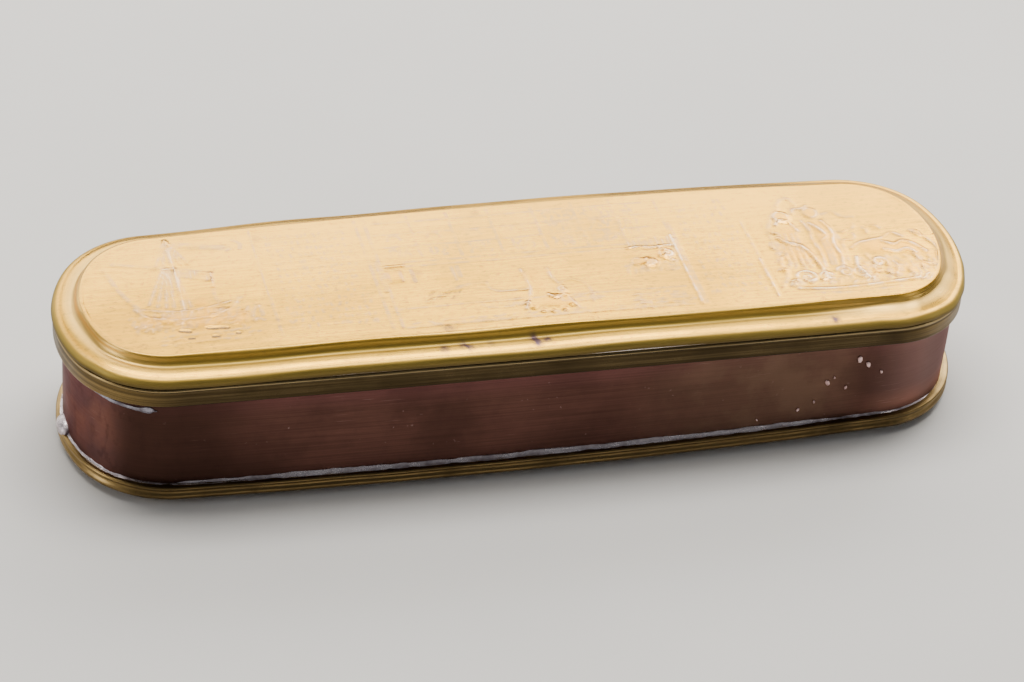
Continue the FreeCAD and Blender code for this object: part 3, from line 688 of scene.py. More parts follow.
def chase_quay(panel):
    """Middle scene: a long gabled front above, and below it a quay with a pedestal and cargo."""
    for x in (-17.1, -9.9, -2.4, 5.6, 13.2, 20.3):
        panel.stroke([(x, 17.2), (x + 0.1, 4.2)], 0.3, 0.09)
        panel.stroke([(x + 0.6, 17.2), (x + 0.7, 5.5)], 0.22, -0.05)
    for y in (15.6, 12.0, 8.2, 3.4, 2.1):
        panel.stroke([(-24, y), (-8, y - 0.2), (12, y + 0.1), (26, y)], 0.26, 0.06)
    for n, x in enumerate((-20.8, -13.6, -6.2, 1.8, 9.4, 16.6)):
        panel.sweep([(x - 1.2, 10.2), (x - 0.9, 11.2), (x, 11.6), (x + 0.9, 11.2), (x + 1.2, 10.2)], 0.3,
                    0.06 + 0.01 * n)
        panel.nicks(x - 2, x + 2.2, 4.6, 7.6, 3, 0.9, 0.8, 0.06, 30 + n)
    panel.nicks(7, 24, 5, 15.5, 8, 0.9, 0.9, 0.05, 37)
    panel.stroke([(-24.2, 2.4), (-20.9, 2.4)], 0.3, 0.22)
    for x, y, long, wide, turn, height in (
            (-22.9, -0.6, 1.6, 1.9, 0, 0.2), (-19.2, -0.3, 1.0, 1.2, 0, 0.16),
            (-14.6, -1.8, 1.4, 1.1, 0, 0.12), (1.6, -3.2, 2.6, 1.8, 0, 0.12),
            (1.7, -8, 1.6, 3.6, 0, 0.16),
            (2.4, -12.5, 3.9, 1.6, 0, 0.22), (22.4, -2.4, 2.0, 1.7, 20, 0.26),
            (25.8, -0.4, 1.6, 2.0, 0, 0.24), (20, 0.6, 1.8, 1.3, 0, 0.14)):
        panel.boss(x, y, long, wide, turn, height)
    for x, foot in ((-24.3, -2.5), (-22, -2.2), (-19.9, -2.8), (-12.7, -3.2), (-11.7, -2.4)):
        panel.stroke([(x, 0.9), (x + 0.1, foot)], 0.26, 0.14)
    panel.sweep([(-19, -9.4), (-15.5, -7.2), (-12, -5.4), (-7.8, -4.8)], 0.5, 0.10)
    panel.nicks(-18.6, -12.4, -9, -6.4, 2, 0.7, 1.3, -0.12, 41, lean=35.0)
    panel.sweep([(-7.8, -5.2), (-7.2, -7.2), (-5.4, -8), (-0.9, -8)], 0.3, 0.14)
    panel.sweep([(-0.8, -1.6), (-0.5, -5), (-0.7, -9), (-2.6, -13.8)], 0.3, 0.2)
    panel.sweep([(3.9, -1.8), (4.1, -5), (5.3, -8), (5.4, -11), (6.6, -14.4)], 0.34, 0.18)
    panel.sweep([(5.4, -6.6), (7.2, -5.9), (9.2, -7.4), (10, -10), (9.6, -13)], 0.3, 0.12)
    panel.curl(5.2, -8.9, 1.0, 90, 1.1, 0.28, 0.2)
    panel.sweep([(2.2, -10.2), (3.2, -11.2), (4.6, -10.9), (4.9, -9.9)], 0.4, 0.36)
    for x, y, height in ((-1.9, -12.2, 0.28), (-1.2, -13.6, 0.3), (0.3, -14.6, 0.34), (1.9, -15, 0.3),
                         (4.1, -14.6, 0.34), (5.6, -13.4, 0.26), (3.6, -10.7, 0.3)):
        panel.boss(x, y, 0.5, 0.6, 0, height)
    for x in (-6.2, 7.4):
        panel.nicks(x - 4, x + 4, -13, -10.4, 3, 1.4, 1.0, 0.07, 43, lean=5.0)
    for y in (-10.9, -16.2):
        panel.stroke([(-24, y), (27, y + 0.2)], 0.24, 0.07)
    for n in range(8):
        panel.stroke([(20.3 + n * 1.05, 2.2), (20.4 + n * 1.05, 4.0 + 0.5 * (n % 3))], 0.22, 0.16)
    panel.sweep([(19.6, 2), (22, 2.3), (24, 1.8), (28, 2.1)], 0.28, 0.26)
    panel.curl(23, -2.6, 1.3, 120, 1.3, 0.34, 0.4)
    panel.curl(26.4, -0.4, 1.5, 200, -1.4, 0.3, 0.34)
    panel.curl(20.4, -2.2, 1.2, 30, 1.2, 0.3, 0.18)
    panel.sweep([(25.2, 1.6), (26.2, 0.4), (26, -1.4), (27.2, -2.4)], 0.3, 0.34)
    panel.nicks(17.6, 27.6, -5.6, -2.6, 3, 0.8, 0.9, 0.12, 45, lean=60.0)
    panel.nicks(17, 27, -15.2, -11.6, 4, 1.2, 1.4, 0.12, 46, lean=12.0)


def chase_hunt(panel):
    """Right scene: two draped standing figures in a scrolled frame, and an animal lying by them."""
    panel.sweep([(44.4, -12.6), (46.3, -9.4), (46.0, -5), (47.2, -0.6), (46.6, 3.2), (48.2, 7.6),
                 (50.6, 10.4)], 0.4, 0.12)
    panel.sweep([(49.4, 9.2), (51.4, 12.6), (53.2, 13.1), (54, 11)], 0.4, 0.12)
    for x, y, long, wide, turn, height in (
            (50.4, 7.6, 1.2, 1.4, 0, 0.3), (50.2, 3.4, 2.3, 2.6, 10, 0.2),
            (50.9, -2.4, 2.6, 4.2, 8, 0.18),
            (56.2, 8.4, 1.1, 1.3, 0, 0.28), (56.2, 4.4, 1.9, 2.6, -6, 0.22),
            (56.5, -2.4, 2.4, 4.4, -6, 0.18),
            (65.6, -2.6, 3.4, 2.1, -8, 0.26), (71.4, -3.4, 2.6, 2.2, -30, 0.24),
            (68.4, -8.8, 4.4, 2.0, 6, 0.2), (61.4, -8.6, 1.6, 2.4, 0, 0.2),
            (75, -6.2, 1.6, 2.4, 20, 0.14)):
        panel.boss(x, y, long, wide, turn, height)
    panel.sweep([(47.8, 1.8), (49, 0.2), (51.3, -1.2), (52.6, -4), (53.4, -8.6), (53, -11)], 0.42, 0.34)
    panel.sweep([(48.6, 5.6), (49.8, 6.8), (51.4, 5.8), (52.2, 3.4)], 0.34, 0.24)
    panel.sweep([(53.8, 6.2), (54.4, 3), (54, 0.6), (54.4, -3), (54.1, -7.6)], 0.3, 0.2)
    panel.sweep([(55, 5.4), (56.6, 2.9), (57, 1.2), (55.6, 0.2)], 0.36, 0.26)
    panel.sweep([(57.4, 5.8), (58.4, 2.6), (57.6, -1.2), (58, -4.6), (57.3, -8.2)], 0.36, 0.3)
    panel.sweep([(52.6, 8.6), (53.4, 9.8), (54.9, 9.9), (56, 10.6)], 0.34, 0.2)
    panel.sweep([(58.2, 7.8), (60.2, 8.4), (61.6, 6.8), (63.6, 6.4)], 0.34, 0.12)
    panel.curl(49.9, -10.4, 2.2, 200, -1.5, 0.36, 0.28)
    panel.curl(53.2, -10.6, 1.5, 20, 1.3, 0.32, 0.24)
    panel.curl(57.2, -9.4, 1.7, 160, -1.4, 0.32, 0.24)
    panel.curl(60, -9.8, 1.5, 80, 1.4, 0.32, 0.2)
    panel.curl(46.9, -11.9, 1.2, 300, 1.2, 0.28, 0.16)
    panel.sweep([(50.2, 9.3), (51.4, 8.6), (51.6, 7), (50.6, 6.2), (49.3, 6.9), (49.1, 8.4), (50.2, 9.3)],
                0.26, 0.24)
    panel.sweep([(56, 9.9), (57.2, 9.1), (57.1, 7.6), (56, 7.0), (55.1, 7.9), (55.1, 9.2), (56, 9.9)],
                0.26, 0.2)
    for n, (x, y) in enumerate((
            (45.8, -8), (47, -4.4), (46.2, -0.4), (47.6, 3.6), (60.4, 2.6), (62.4, 3.6), (64.6, 2.4),
            (66.8, 3.2), (60.2, -0.4), (72.4, -8.4), (69.6, -10), (65.6, -10.2), (63.4, -9.6),
            (61.8, 0.8),
            (74.2, 0.6))):
        panel.leaf(x, y, 0.8 + 0.1 * (n % 3), 47.0 * n, 0.14)
        panel.boss(x, y, 0.9, 0.7, 31.0 * n, 0.1)
    for x in (48.4, 49.4, 50.6, 51.6):
        panel.sweep([(x, 2.6), (x - 0.3, -1), (x - 0.6, -6.8)], 0.24, 0.12)
    for x in (55.6, 56.4, 59.0):
        panel.sweep([(x, 1.6), (x + 0.2, -2), (x - 0.2, -7)], 0.24, 0.12)
    panel.sweep([(60.4, -2.6), (62.2, -1.2), (64.6, -0.6), (67.4, 0), (69.2, 1.2), (71, 0)], 0.36, 0.2)
    panel.sweep([(66.8, -1.2), (68.8, -2.2), (70.6, -1.4), (72.6, -2.6), (74.2, -4.6)], 0.36, 0.3)
    panel.sweep([(66.4, -3.4), (68.6, -4.2), (70.8, -3.6), (72.2, -5)], 0.3, 0.24)
    panel.curl(64.4, -7, 1.5, 330, 1.3, 0.34, 0.34)
    panel.sweep([(60.6, -5.2), (60.0, -8.2), (61.2, -11.4)], 0.34, 0.28)
    panel.sweep([(62.6, -4.6), (63.2, -7.6), (62.6, -10.8)], 0.3, 0.2)
    panel.sweep([(66.2, -5.4), (67.4, -8.4), (66.4, -11.2)], 0.3, 0.18)
    panel.sweep([(71.6, -5.2), (72.6, -7.6), (75.4, -8.4), (76, -5)], 0.34, 0.18)
    panel.sweep([(73, 1.4), (75.4, -1), (76.6, -4.4), (75.8, -9)], 0.4, 0.14)
    panel.sweep([(47.2, -13.4), (54, -13.9), (62, -13.2), (70.4, -12)], 0.4, 0.22)
    panel.sweep([(49, -15), (57, -15.2), (66, -14.2)], 0.3, 0.10)
    panel.nicks(45.4, 73.5, -12.8, -10.6, 2, 0.9, 1.0, 0.15, 51, lean=40.0)
    panel.nicks(61, 75, -10.2, -5.4, 4, 1.0, 1.0, 0.10, 52, lean=110.0)
    panel.nicks(45.4, 52, -8, 0, 5, 1.2, 1.2, 0.08, 53, lean=70.0)


columns, rows, rows_under = 470, 116, 24
panel_inset, panel_top, panel_under = 5.6, 29.0, 28.5
angles = even_angles(columns, panel_inset)
loop_angles = np.concatenate([angles, -angles[-2:0:-1]])
around = len(loop_angles)
edge_x, edge_y = outline_spot(loop_angles, panel_inset)
edge_run = np.concatenate([[0.0], np.cumsum(np.hypot(np.diff(edge_x), np.diff(edge_y)))])
step_section = drawn_section(
    (panel_inset, panel_top), (5.25, panel_top), (4.5, 28.3, 0.75), (3.75, 27.25, -1.15),
    (1.55, 26.95, 3.6), (0.3, 25.75, 1.2), longest=0.45, arc_step=16.0)
step_section += drawn_section(
    (0.4, 25.35), (0.85, 25.3), (0.85, 25.6), (1.5, 26.24, -0.8), (3.75, 26.74), (4.95, 28.4, 1.8),
    (panel_inset, panel_under), longest=1.2, arc_step=45.0)
legs = [np.hypot(*(b - a)) for a, b in zip(step_section, step_section[1:])]
section_run = np.concatenate([[0.0], np.cumsum(legs)])

# the ledge gives a little all round, is knocked about at the front right, has a crease at the left
# end, and rises in one shallow slope where the right end was pressed less deep
spots, laid = [], []
for (inset, height), run in zip(step_section, section_run):
    x, y = outline_spot(loop_angles, inset)
    knock = smoothstep((x - 52.0) / 20.0) * smoothstep((-y - 2.0) / 8.0)
    crease = np.exp(-((x + 77.5) / 1.6) ** 2) * smoothstep(-y / 4.0)
    give = 0.12 * unevenness(x, y, 24.0, 3) + 0.12 * knock * unevenness(x, y, 6.0, 4) + 0.25 * crease
    ledge = smoothstep((5.2 - inset) / 0.8)
    on_slope = smoothstep((inset - 1.2) / 0.6) * smoothstep((5.3 - inset) / 0.6)
    shallow = 0.8 * smoothstep((x - 44.0) / 24.0) * on_slope
    height = height + shallow * (26.5 + 2.0 * (inset - 1.0) / 4.2 - height)
    x, y = x - give * ledge * np.cos(loop_angles), y - give * ledge * np.sin(loop_angles)
    lift = ledge * (0.10 * unevenness(x, y, 30.0, 5) + 0.10 * knock * unevenness(x, y, 5.0, 6))
    spots.append(np.stack([x, y, height + lift], 1))
    laid.append(np.stack([edge_run, np.full(around, run), np.full(around, 50.0)], 1))


def sheet_grid(first_loop, count, start):
    """Point numbers of a sheet stretched across a loop: column by row, with the tips shared."""
    grid = np.empty((columns + 1, count + 1), int)
    grid[:, 0] = first_loop + np.arange(columns + 1)
    grid[1:, count] = first_loop + around - np.arange(1, columns + 1)
    grid[0, :], grid[columns, :] = first_loop, first_loop + columns
    inner = np.arange((columns - 1) * (count - 1)).reshape(columns - 1, count - 1)
    grid[1:columns, 1:count] = start + inner
    return grid


def sheet_spots(count):
    """Places across the panel for a sheet's inner points, in mm."""
    share = np.arange(1, count) / count
    front, back = edge_y[1:columns, None], -edge_y[1:columns, None]
    across_panel = (front + (back - front) * share).ravel()
    return np.repeat(edge_x[1:columns, None], count - 1, 1).ravel(), across_panel


left_by_rubbing = 0.66


def chased(x, y):
    """Height of the chased panel above its flat, in mm, and how much of it is thin crests."""
    panel = Panel(x, y)
    for scene in (chase_frames, chase_ship, chase_quay, chase_hunt):
        scene(panel)
    waves = 0.035 * unevenness(x, y, 14.0, 9) + 0.006 * unevenness(x, y * 4.0, 6.0, 10)
    return left_by_rubbing * panel.height + waves, panel.crest


def panel_edge_fade(x, y):
    """The chasing dies out just inside the panel's edge."""
    room = np.interp(x, edge_x[:columns + 1], -edge_y[:columns + 1]) - np.abs(y)
    return smoothstep(room / 1.2)


ring_count = len(step_section)
top_x, top_y = sheet_spots(rows)
under_x, under_y = sheet_spots(rows_under)
top_height, top_crest = chased(top_x, top_y)
under_height, under_crest = chased(under_x, under_y)
top_height *= panel_edge_fade(top_x, top_y)
under_height *= panel_edge_fade(under_x, under_y)
struck_through = 0.8
spots.append(np.stack([top_x, top_y, panel_top + top_height], 1))
spots.append(np.stack([under_x, under_y, panel_under + struck_through * under_height], 1))
top_grid = sheet_grid(0, rows, ring_count * around)
under_grid = sheet_grid((ring_count - 1) * around, rows_under, ring_count * around + len(top_x))

here = np.arange(around)
after = (here + 1) % around
faces = []
for ring in range(ring_count - 1):
    inner, outer = ring * around, (ring + 1) * around
    faces += np.stack([inner + here, outer + here, outer + after, inner + after], 1).tolist()
ring_faces = len(faces)
for grid, upward in ((top_grid, True), (under_grid, False)):
    for near, far in zip(grid[:-1], grid[1:]):
        strip = np.stack([near[:-1], far[:-1], far[1:], near[1:]], 1)
        if near[0] == near[-1]:
            strip = strip[:, [0, 1, 2]]
        elif far[0] == far[-1]:
            strip = strip[:, [0, 1, 3]]
        faces += (strip if upward else strip[:, ::-1]).tolist()

# drawn marks run round the step, and straight along the panel
points = np.concatenate(spots)
ring_lay = np.concatenate(laid + [np.zeros((len(top_x) + len(under_x), 3))])
sheet_lay = points * [1.0, 1.0, 0.0] + [0.0, 0.0, 10.0]
placed = np.stack(lid_hang(*(points * MM).T, ease=0.7 * MM), 1)
lid_mesh = bpy.data.meshes.new("lid_sheet")
lid_mesh.from_pydata(placed.tolist(), [], faces)
lid_mesh.validate()
corner_points = np.empty(len(lid_mesh.loops), np.int32)
lid_mesh.loops.foreach_get("vertex_index", corner_points)
on_ring = (np.arange(len(corner_points)) < ring_faces * 4)[:, None]
lay = np.where(on_ring, ring_lay[corner_points], sheet_lay[corner_points]) * MM
lid_mesh.attributes.new("lay", "FLOAT_VECTOR", "CORNER").data.foreach_set(
    "vector", lay.astype(np.float32).ravel())

# old stains, each at (x, y) with its size and strength; most sit on the ledge at the front
stain = np.zeros(len(points))
for x, y, size, strength in (
        (-17.2, -17.3, 1.1, 0.7), (-18.6, -20.6, 0.9, 1.0), (-15.2, -20.2, 0.8, 1.0),
        (-14.2, -20.9, 0.8, 0.9), (-2.8, -19.9, 0.8, 1.2), (-2.2, -21.0, 0.9, 1.2),
        (-0.5, -20.4, 0.8, 1.1), (-10.4, -20.2, 0.7, 0.5), (-45.3, -10.4, 0.5, 0.5),
        (-45.4, -12.2, 0.4, 0.4), (-44.6, 14.2, 0.9, 0.35), (-19, -0.2, 0.9, 0.35),
        (-19.8, -2.2, 0.7, 0.4), (-4.6, 16.6, 0.8, 0.4), (51.9, -20.3, 0.9, 1.0),
        (53.2, 9.7, 0.8, 0.45),
        (71, 4.4, 0.5, 0.4), (44.2, -12.8, 0.4, 0.6), (47.4, -2.6, 0.5, 0.4), (57.4, -8.6, 0.5, 0.6),
        (-23, 16, 0.6, 0.35), (22.4, 8, 0.5, 0.35)):
    away = ((points[:, 0] - x) / size) ** 2 + ((points[:, 1] - y) / size) ** 2
    stain += strength * np.exp(-away ** 1.5)
stain *= np.clip(0.95 + 0.5 * unevenness(points[:, 0], points[:, 1], 1.3, 15), 0.0, 1.0)

# how light the step is painted at each run down it from the panel's edge: 1 is bright, -1 black;
# the dull hollow is partly tarnish, while the bright edge and shoulder are painted highlights and the
# black under the roll is painted shade
run_down, light_and_tarnish_there = zip(
    (0.0, 1.0), (0.3, 0.95), (0.8, 0.3), (1.35, 0.25), (1.8, 0.15), (2.4, 0.05), (2.9, 0.15),
    (3.6, 0.35),
    (4.4, 0.8), (5.0, 1.0), (5.5, 0.45), (6.0, 0.1), (6.4, -0.3), (6.9, -0.8), (7.8, -0.8), (8.6, 0.1))
crown = np.interp(section_run, run_down, light_and_tarnish_there)
# painted light on both ends of the step above the roll
lit_ends = 0.9 * smoothstep((edge_x - 42.0) / 22.0) + 0.75 * smoothstep((-edge_x - 62.0) / 12.0)
above_roll = 1.0 - smoothstep((section_run - 4.9) / 0.9)
on_rings = np.zeros(ring_count * around)
for name, rings, top, under in (
        ("bright", np.clip(np.outer(above_roll, lit_ends).ravel(), 0.0, 1.0), np.ones_like(top_x), 0.0),
        # painted light and shade across the step, with tarnish in its hollow, kept as rubbed
        ("rubbed", np.repeat(crown, around), np.ones_like(top_x), 0.0),
        ("crest", on_rings, top_crest, 0.5 * under_crest),
        ("swell", on_rings, top_height, 0.5 * under_height)):
    values = np.concatenate([rings, top, np.broadcast_to(under, under_x.shape)])
    lid_mesh.attributes.new(name, "FLOAT", "POINT").data.foreach_set("value", values.astype(np.float32))
lid_mesh.attributes.new("stain", "FLOAT", "POINT").data.foreach_set(
    "value", np.clip(stain, 0.0, 1.0).astype(np.float32))
lid_mesh.shade_smooth()
lid_mesh.set_sharp_from_angle(angle=math.radians(50))
lid_sheet = bpy.data.objects.new("lid_sheet", lid_mesh)
bpy.context.collection.objects.link(lid_sheet)

lid_brass = worked_metal("pale rubbed lid brass", (1.0, 0.52, 0.025, 1.0), (0.74, 0.38, 0.03, 1.0),
                         (0.20, 0.13, 0.10, 1.0), shine=(0.2, 0.32), patches=30.0, streak=0.5,
                         speckle=0.6, laid=True, bump=0.35)


def age_lid(material):
    """Painted highlights and shading on the relief, a step painted light and dark round the panel with
    tarnish in its hollow, pits and a few old stains.
    """
    tree, surface, tone = finish_so_far(material)
    solid = in_place(tree)
    back = add(tree, "ShaderNodeSeparateXYZ", {0: solid}).outputs[1]
    rubbed, bright, crest, swell, stain = (
        add(tree, "ShaderNodeAttribute", attribute_name=name).outputs["Fac"]
        for name in ("rubbed", "bright", "crest", "swell", "stain"))
    brushed = grain(tree, solid, 1.0, 3.0, (260.0, 1900.0, 1900.0), (4.0, 2.0, 6.0))
    brushed = times(tree, between(tree, brushed, 0.42, 0.66), 0.4)
    tone = blend_colours(tree, brushed, tone, (0.64, 0.35, 0.02, 1.0))
    drawn = grain(tree, on_sheet(tree), 1.0, 4.0, (10.0, 1300.0, 1300.0), (1.0, 8.0, 3.0))
    drawn = times(tree, between(tree, drawn, 0.45, 0.7), 0.45)
    tone = blend_colours(tree, drawn, tone, (0.62, 0.35, 0.02, 1.0))
    pits = between(tree, grain(tree, solid, 1500.0, 3.0, (0.6, 1.0, 1.0)), 0.52, 0.72, 0.0, 0.6)
    tone = blend_colours(tree, pits, tone, (0.36, 0.20, 0.04, 1.0))
    tone = blend_colours(tree, between(tree, swell, 0.02, 0.2, 0.0, 0.6), tone,
                         (0.98, 0.45, 0.02, 1.0))
    tone = blend_colours(tree, between(tree, back, -0.004, 0.019, 0.0, 0.5), tone,
                         (0.97, 0.54, 0.08, 1.0))
    # painted light: the hollow's colour turns bright towards both ends
    hollow = blend_colours(tree, bright, (0.42, 0.30, 0.07, 1.0), (0.88, 0.56, 0.15, 1.0))
    # the step's colour by the rubbed values: tarnish in the hollow, painted highlights and painted shade
    tone = blend_colours(tree, rubbed, hollow, tone)
    # painted shade: black under the roll, where the step's value falls below 0
    tone = blend_colours(tree, between(tree, rubbed, 0.0, -1.0), tone, (0.10, 0.07, 0.025, 1.0))
    # painted highlights on raised crests and painted shading on their flanks, broken by noise
    worn = between(tree, grain(tree, solid, 420.0, 3.0, shift=(3.0, 7.0, 1.0)), 0.38, 0.62, 0.15, 1.0)
    edge = times(tree, between(tree, crest, 0.12, 0.4, 0.0, 0.42), worn)
    tone = blend_colours(tree, edge, tone, (0.42, 0.30, 0.20, 1.0))
    proud = times(tree, between(tree, crest, 0.5, 0.95, 0.0, 0.75), worn)
    tone = blend_colours(tree, proud, tone, (1.0, 0.74, 0.46, 1.0))
    # painted shade along sunk strokes
    tone = blend_colours(tree, between(tree, crest, -0.3, -0.8, 0.0, 0.9), tone,
                         (0.14, 0.10, 0.06, 1.0))
    tone = blend_colours(tree, stain, tone, (0.10, 0.065, 0.08, 1.0))
    tree.links.new(tone, surface.inputs["Base Color"])
    polish = surface.inputs["Roughness"].links[0].from_socket
    dulled = times(tree, between(tree, rubbed, 0.0, 1.0, 0.24, 0.0),
                   between(tree, bright, 0.0, 1.0, 1.0, 0.1))
    tree.links.new(maths(tree, "ADD", polish, dulled), surface.inputs["Roughness"])


age_lid(lid_brass)
lid_mesh.materials.append(lid_brass)
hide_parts("lid_cover")
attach(lid_sheet, "lid")


# ---- Lid rim band ----------------------------------------------------------------------------
# A second strip of brass, soldered inside the lid's edge, hangs over the wall to hold the lid.
# It is drawn to a flat bead with fine lines along it; its dark colour is partly dull tarnish and
# partly painted shade, with a painted highlight on the bead and towards both ends.

# rim band brass darkened: partly dull tarnish and partly painted shade on its outward face
rim_brass = worked_metal("drawn rim brass partly in painted shade", (0.085, 0.060, 0.028, 1.0), (0.034, 0.023, 0.010, 1.0),
                         (0.035, 0.025, 0.012, 1.0), shine=(0.22, 0.4), patches=60.0, streak=0.7,
                         laid=True)


def lines_and_bead_highlight(material):
    """Dark drawn lines run along the band, and the bead at its top edge gets a painted highlight."""
    tree, surface, tone = finish_so_far(material)
    laid = on_sheet(tree)
    across_band = add(tree, "ShaderNodeSeparateXYZ", {0: laid}).outputs[1]
    # painted highlight on the bead at the band's top edge
    bead = times(tree, between(tree, across_band, 0.0048, 0.0052),
                 between(tree, across_band, 0.0062, 0.0057), 0.7)
    tone = blend_colours(tree, bead, tone, (0.42, 0.31, 0.15, 1.0))
    lines = grain(tree, laid, 1.0, 3.0, (14.0, 1700.0, 1700.0), (2.0, 5.0, 1.0))
    lines = times(tree, between(tree, lines, 0.40, 0.60), 0.65)
    tone = blend_colours(tree, lines, tone, (0.030, 0.020, 0.009, 1.0))
    tree.links.new(tone, surface.inputs["Base Color"])


lines_and_bead_highlight(rim_brass)
# painted highlights on the rim band towards both ends
paint_end_highlights(rim_brass, 0.062, 0.078, 0.42, (0.42, 0.28, 0.10, 1.0))
rim_band = bend_moulding("rim_band", drawn_section(
    (1.4, 21.5), (1.4, 25.7), (0.9, 25.55), (0.8, 25.15), (0.45, 24.75, 0.38), (0.62, 24.2, -0.6),
    (0.5, 23.85), (0.56, 23.55), (0.46, 23.2), (0.53, 22.95), (0.44, 22.6), (0.5, 22.3),
    (0.45, 21.9), (0.75, 21.5, 0.4), (1.4, 21.5)), rim_brass, waver=0.12 * MM, pitch=0.02, seed=12.0)
reshape(rim_band, lambda x, y, z: lid_hang(x, y, z, ease=0.4 * MM))
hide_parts("lid_rim_band")
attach(rim_band, "lid")

rim_fillet = bend_moulding("rim_fillet", drawn_section(
    (1.35, 25.75), (0.8, 25.3), (0.8, 25.4), (1.3, 26.14, -0.85), (1.35, 26.16), (1.35, 25.75)),
    grey_solder, step=1.0 * MM)
reshape(rim_fillet, lambda x, y, z: lid_hang(x, y, z, ease=0.4 * MM))
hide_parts("lid_rim_solder")
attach(rim_fillet, "lid")


# ---- Stray solder ----------------------------------------------------------------------------
# When the lid rim and the base were soldered some tin ran where it wasn't wanted: a smear on the
# wall at the front left, a lump on the base rim at the left end, and small splashes on the right.

smeared_solder = worked_metal("thin grey solder", (0.36, 0.36, 0.43, 1.0), (0.13, 0.11, 0.13, 1.0),
                              (0.07, 0.05, 0.05, 1.0), shine=(0.25, 0.45), patches=500.0, metallic=0.8)
smear = bend_moulding("solder_smear", drawn_section(
    (2.3, 19.8), (2.3, 21.2), (1.85, 21.1), (1.75, 20.5), (1.95, 19.9, 1.2),
    (2.3, 19.8), longest=0.35),
    smeared_solder, step=0.3 * MM, waver=0.35 * MM, ragged=0.8 * MM, pitch=0.0026, seed=21.0,
    part=(0.0530, 0.0715))


def trail(x, y, z):
    """The smear runs down from under the rim on the left to a round drop at its right end."""
    run = np.clip((x / MM + 80.0) / 12.1, 0.0, 1.0)
    middle = 20.3 - 0.6 * smoothstep(run * 1.4)
    spread = 0.4 + 0.35 * run + 0.35 * smoothstep((run - 0.8) / 0.1)
    spread = spread * np.sqrt(np.clip((1.0 - run) / 0.06, 0.02, 1.0))
    return x, y, (middle + (z / MM - 20.5) * spread) * MM


reshape(smear, trail)
lump = bend_moulding("solder_lump", drawn_section(
    (2.2, 3.6), (2.2, 5.6), (1.8, 5.6), (0.45, 4.2, 1.4), (0.6, 3.3), (1.2, 3.3),
    (2.2, 3.6), longest=0.4),
    grey_solder, step=0.25 * MM, waver=0.4 * MM, ragged=0.6 * MM, pitch=0.0022, seed=23.0,
    part=(0.0425, 0.0480))


def pinch(x, y, z):
    """The lump dies away to both sides."""
    share = np.sqrt(np.clip(1.0 - ((y / MM + 1.7) / 2.75) ** 2, 0.01, 1.0))
    return -80.4 * MM + (x + 80.4 * MM) * share, y, 4.0 * MM + (z - 4.0 * MM) * share


reshape(lump, pinch)


def splash_tree():
    """Geometry Nodes: a small flattened drop of metal on each point, no two quite alike."""
    tree = bpy.data.node_groups.new("splashes of solder", "GeometryNodeTree")
    tree.interface.new_socket("Spots", in_out="INPUT", socket_type="NodeSocketGeometry")
    for name, kind in (("Drop Size", "Float"), ("Drop Height", "Float"), ("Seed", "Int"),
                       ("Metal", "Material")):
        tree.interface.new_socket(name, in_out="INPUT", socket_type="NodeSocket" + kind)
    tree.interface.new_socket("Splashes", in_out="OUTPUT", socket_type="NodeSocketGeometry")
    given = tree.nodes.new("NodeGroupInput").outputs
    ball = add(tree, "GeometryNodeMeshIcoSphere", {"Radius": 1.0, "Subdivisions": 3}).outputs[0]
    size = add(tree, "GeometryNodeInputNamedAttribute", {"Name": "size"}, data_type="FLOAT").outputs[0]
    lean = add(tree, "FunctionNodeRandomValue",
               {0: (0.0, -0.6, 0.0), 1: (0.0, 0.6, 0.0), "Seed": given["Seed"]},
               data_type="FLOAT_VECTOR").outputs[0]
    wide = times(tree, size, given["Drop Size"])
    shape = add(tree, "ShaderNodeCombineXYZ", {0: wide, 1: given["Drop Height"],
                                               2: times(tree, wide, 1.7)}).outputs[0]
    drops = add(tree, "GeometryNodeInstanceOnPoints", {"Points": given["Spots"], "Instance": ball,
                                                       "Rotation": lean, "Scale": shape}).outputs[0]
    drops = add(tree, "GeometryNodeRealizeInstances", {0: drops}).outputs[0]
    drops = add(tree, "GeometryNodeSetMaterial",
                {"Geometry": drops, "Material": given["Metal"]}).outputs[0]
    add(tree, "NodeGroupOutput", {0: drops})
    return tree


rosy_solder = worked_metal("solder filmed with copper", (0.80, 0.58, 0.56, 1.0), (0.50, 0.30, 0.28, 1.0),
                           (0.20, 0.12, 0.10, 1.0), shine=(0.25, 0.4), patches=700.0, metallic=0.6)
wall_face_inset = 1.9
front_x, front_y = outline_spot(np.linspace(-math.pi, 0.0, 4001), wall_face_inset)
places, drop_sizes = [], []
for x, z, size in ((57.7, 17.0, 1.5), (59.5, 15.6, 1.3), (62.3, 13.6, 0.8), (52.1, 12.6, 1.3),
                   (55.8, 11.0, 0.8), (53.3, 13.6, 0.5), (50.1, 8.6, 0.6), (47.2, 7.2, 0.8),
                   (39.6, 6.0, 0.5)):
    drop_sizes.append(size)
    places.append((x * MM, float(np.interp(x, front_x, front_y)) * MM, z * MM))
spots_mesh = bpy.data.meshes.new("splash spots")
spots_mesh.from_pydata(places, [], [])
spots_mesh.attributes.new("size", "FLOAT", "POINT").data.foreach_set("value", drop_sizes)
spots_object = bpy.data.objects.new("splash spots", spots_mesh)
bpy.context.collection.objects.link(spots_object)
modifier = spots_object.modifiers.new("splashes", "NODES")
modifier.node_group = splash_tree()
drop = {"Drop Size": 0.30 * MM, "Drop Height": 0.22 * MM, "Seed": 9, "Metal": rosy_solder}
for item in modifier.node_group.interface.items_tree:
    if item.name in drop:
        modifier[item.identifier] = drop[item.name]
splashes = plain_piece(spots_object, "solder_splashes")
splashes.data.shade_smooth()
for piece in (smear, lump, splashes):
    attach(piece, "case")


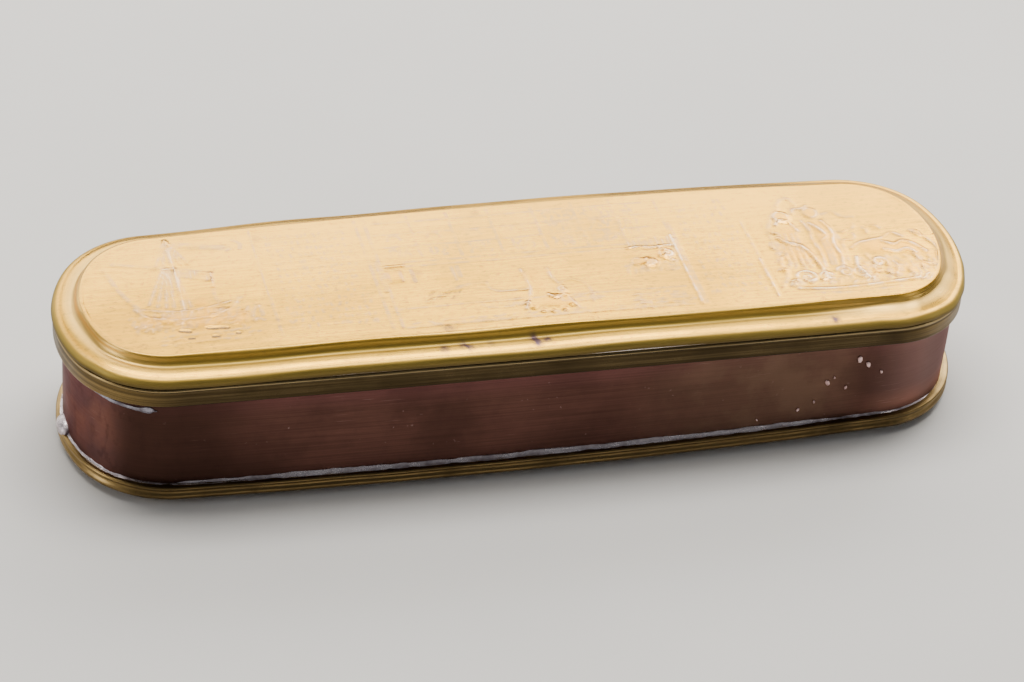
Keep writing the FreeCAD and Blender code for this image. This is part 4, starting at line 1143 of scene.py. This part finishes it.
# ---- Floor, lamps and camera -----------------------------------------------------------------
# The case stands on plain pale paper.  Broad soft lamps overhead and behind it shine in the lid and
# leave the front in its own shade; four smaller ones pick out the round ends and fill the corners.

bpy.ops.mesh.primitive_plane_add(size=6.0, location=(0.0, 0.0, 0.0))
floor = bpy.context.object
floor.name = "floor"
paper = bpy.data.materials.new("pale paper")
paper.use_nodes = True
tree = paper.node_tree
mottle = between(tree, grain(tree, in_place(tree), 9.0), 0.3, 0.7)
tone = blend_colours(tree, mottle, (0.70, 0.69, 0.67, 1.0), (0.73, 0.72, 0.70, 1.0))
tree.links.new(tone, tree.nodes["Principled BSDF"].inputs["Base Color"])
tree.nodes["Principled BSDF"].inputs["Roughness"].default_value = 0.8
floor.data.materials.append(paper)


def facing(azimuth, elevation):
    """The way out at an azimuth and elevation in degrees; azimuth 0 is the front."""
    a, e = math.radians(azimuth), math.radians(elevation)
    return Vector((math.sin(a) * math.cos(e), -math.cos(a) * math.cos(e), math.sin(e)))


def soft_lamp(name, azimuth, elevation, distance, width, depth, power, colour):
    """A soft box aimed at the case."""
    lamp = bpy.data.lights.new(name, "AREA")
    lamp.shape, lamp.size, lamp.size_y = "RECTANGLE", width, depth
    lamp.energy, lamp.color = power, colour
    holder = bpy.data.objects.new(name, lamp)
    out = facing(azimuth, elevation)
    holder.location = Vector((0.0, 0.0, 0.02)) + out * distance
    holder.rotation_mode = "QUATERNION"
    holder.rotation_quaternion = out.to_track_quat("Z", "Y")
    bpy.context.collection.objects.link(holder)


warm_white = (1.0, 0.96, 0.90)
soft_lamp("overhead", 172.0, 77.0, 0.8, 0.9, 0.32, 9.2, warm_white)
soft_lamp("behind", 165.0, 34.0, 0.9, 1.1, 0.42, 7.0, warm_white)
soft_lamp("behind left", -142.0, 18.0, 0.9, 0.42, 0.4, 1.5, warm_white)
soft_lamp("behind right", 126.0, 32.0, 0.9, 0.55, 0.6, 3.0, warm_white)
soft_lamp("left", -82.0, 16.0, 0.8, 0.25, 0.5, 1.8, (1.0, 0.97, 0.95))
soft_lamp("right", 62.0, 14.0, 0.9, 0.08, 0.5, 0.9, (0.97, 0.98, 1.0))
world = bpy.data.worlds.new("studio")
world.use_nodes = True
world.node_tree.nodes["Background"].inputs["Color"].default_value = (0.80, 0.82, 0.86, 1.0)
world.node_tree.nodes["Background"].inputs["Strength"].default_value = 0.16
bpy.context.scene.world = world

camera_data = bpy.data.cameras.new("camera")
camera_data.sensor_width = 36.0
camera_data.lens = 112.5
camera = bpy.data.objects.new("camera", camera_data)
bpy.context.collection.objects.link(camera)
toward_camera = facing(-17.56, 37.12)
roll = Quaternion((0.0, 0.0, 1.0), math.radians(5.55))
camera.rotation_mode = "QUATERNION"
camera.rotation_quaternion = (-toward_camera).to_track_quat("-Z", "Y") @ roll
lid_top = Vector((0.0, 0.0, panel_top * MM))
distance, aside = 0.5605, Vector((-0.0018, -0.01332, 0.0))
camera.location = lid_top + toward_camera * distance + camera.rotation_quaternion @ aside
bpy.context.scene.camera = camera
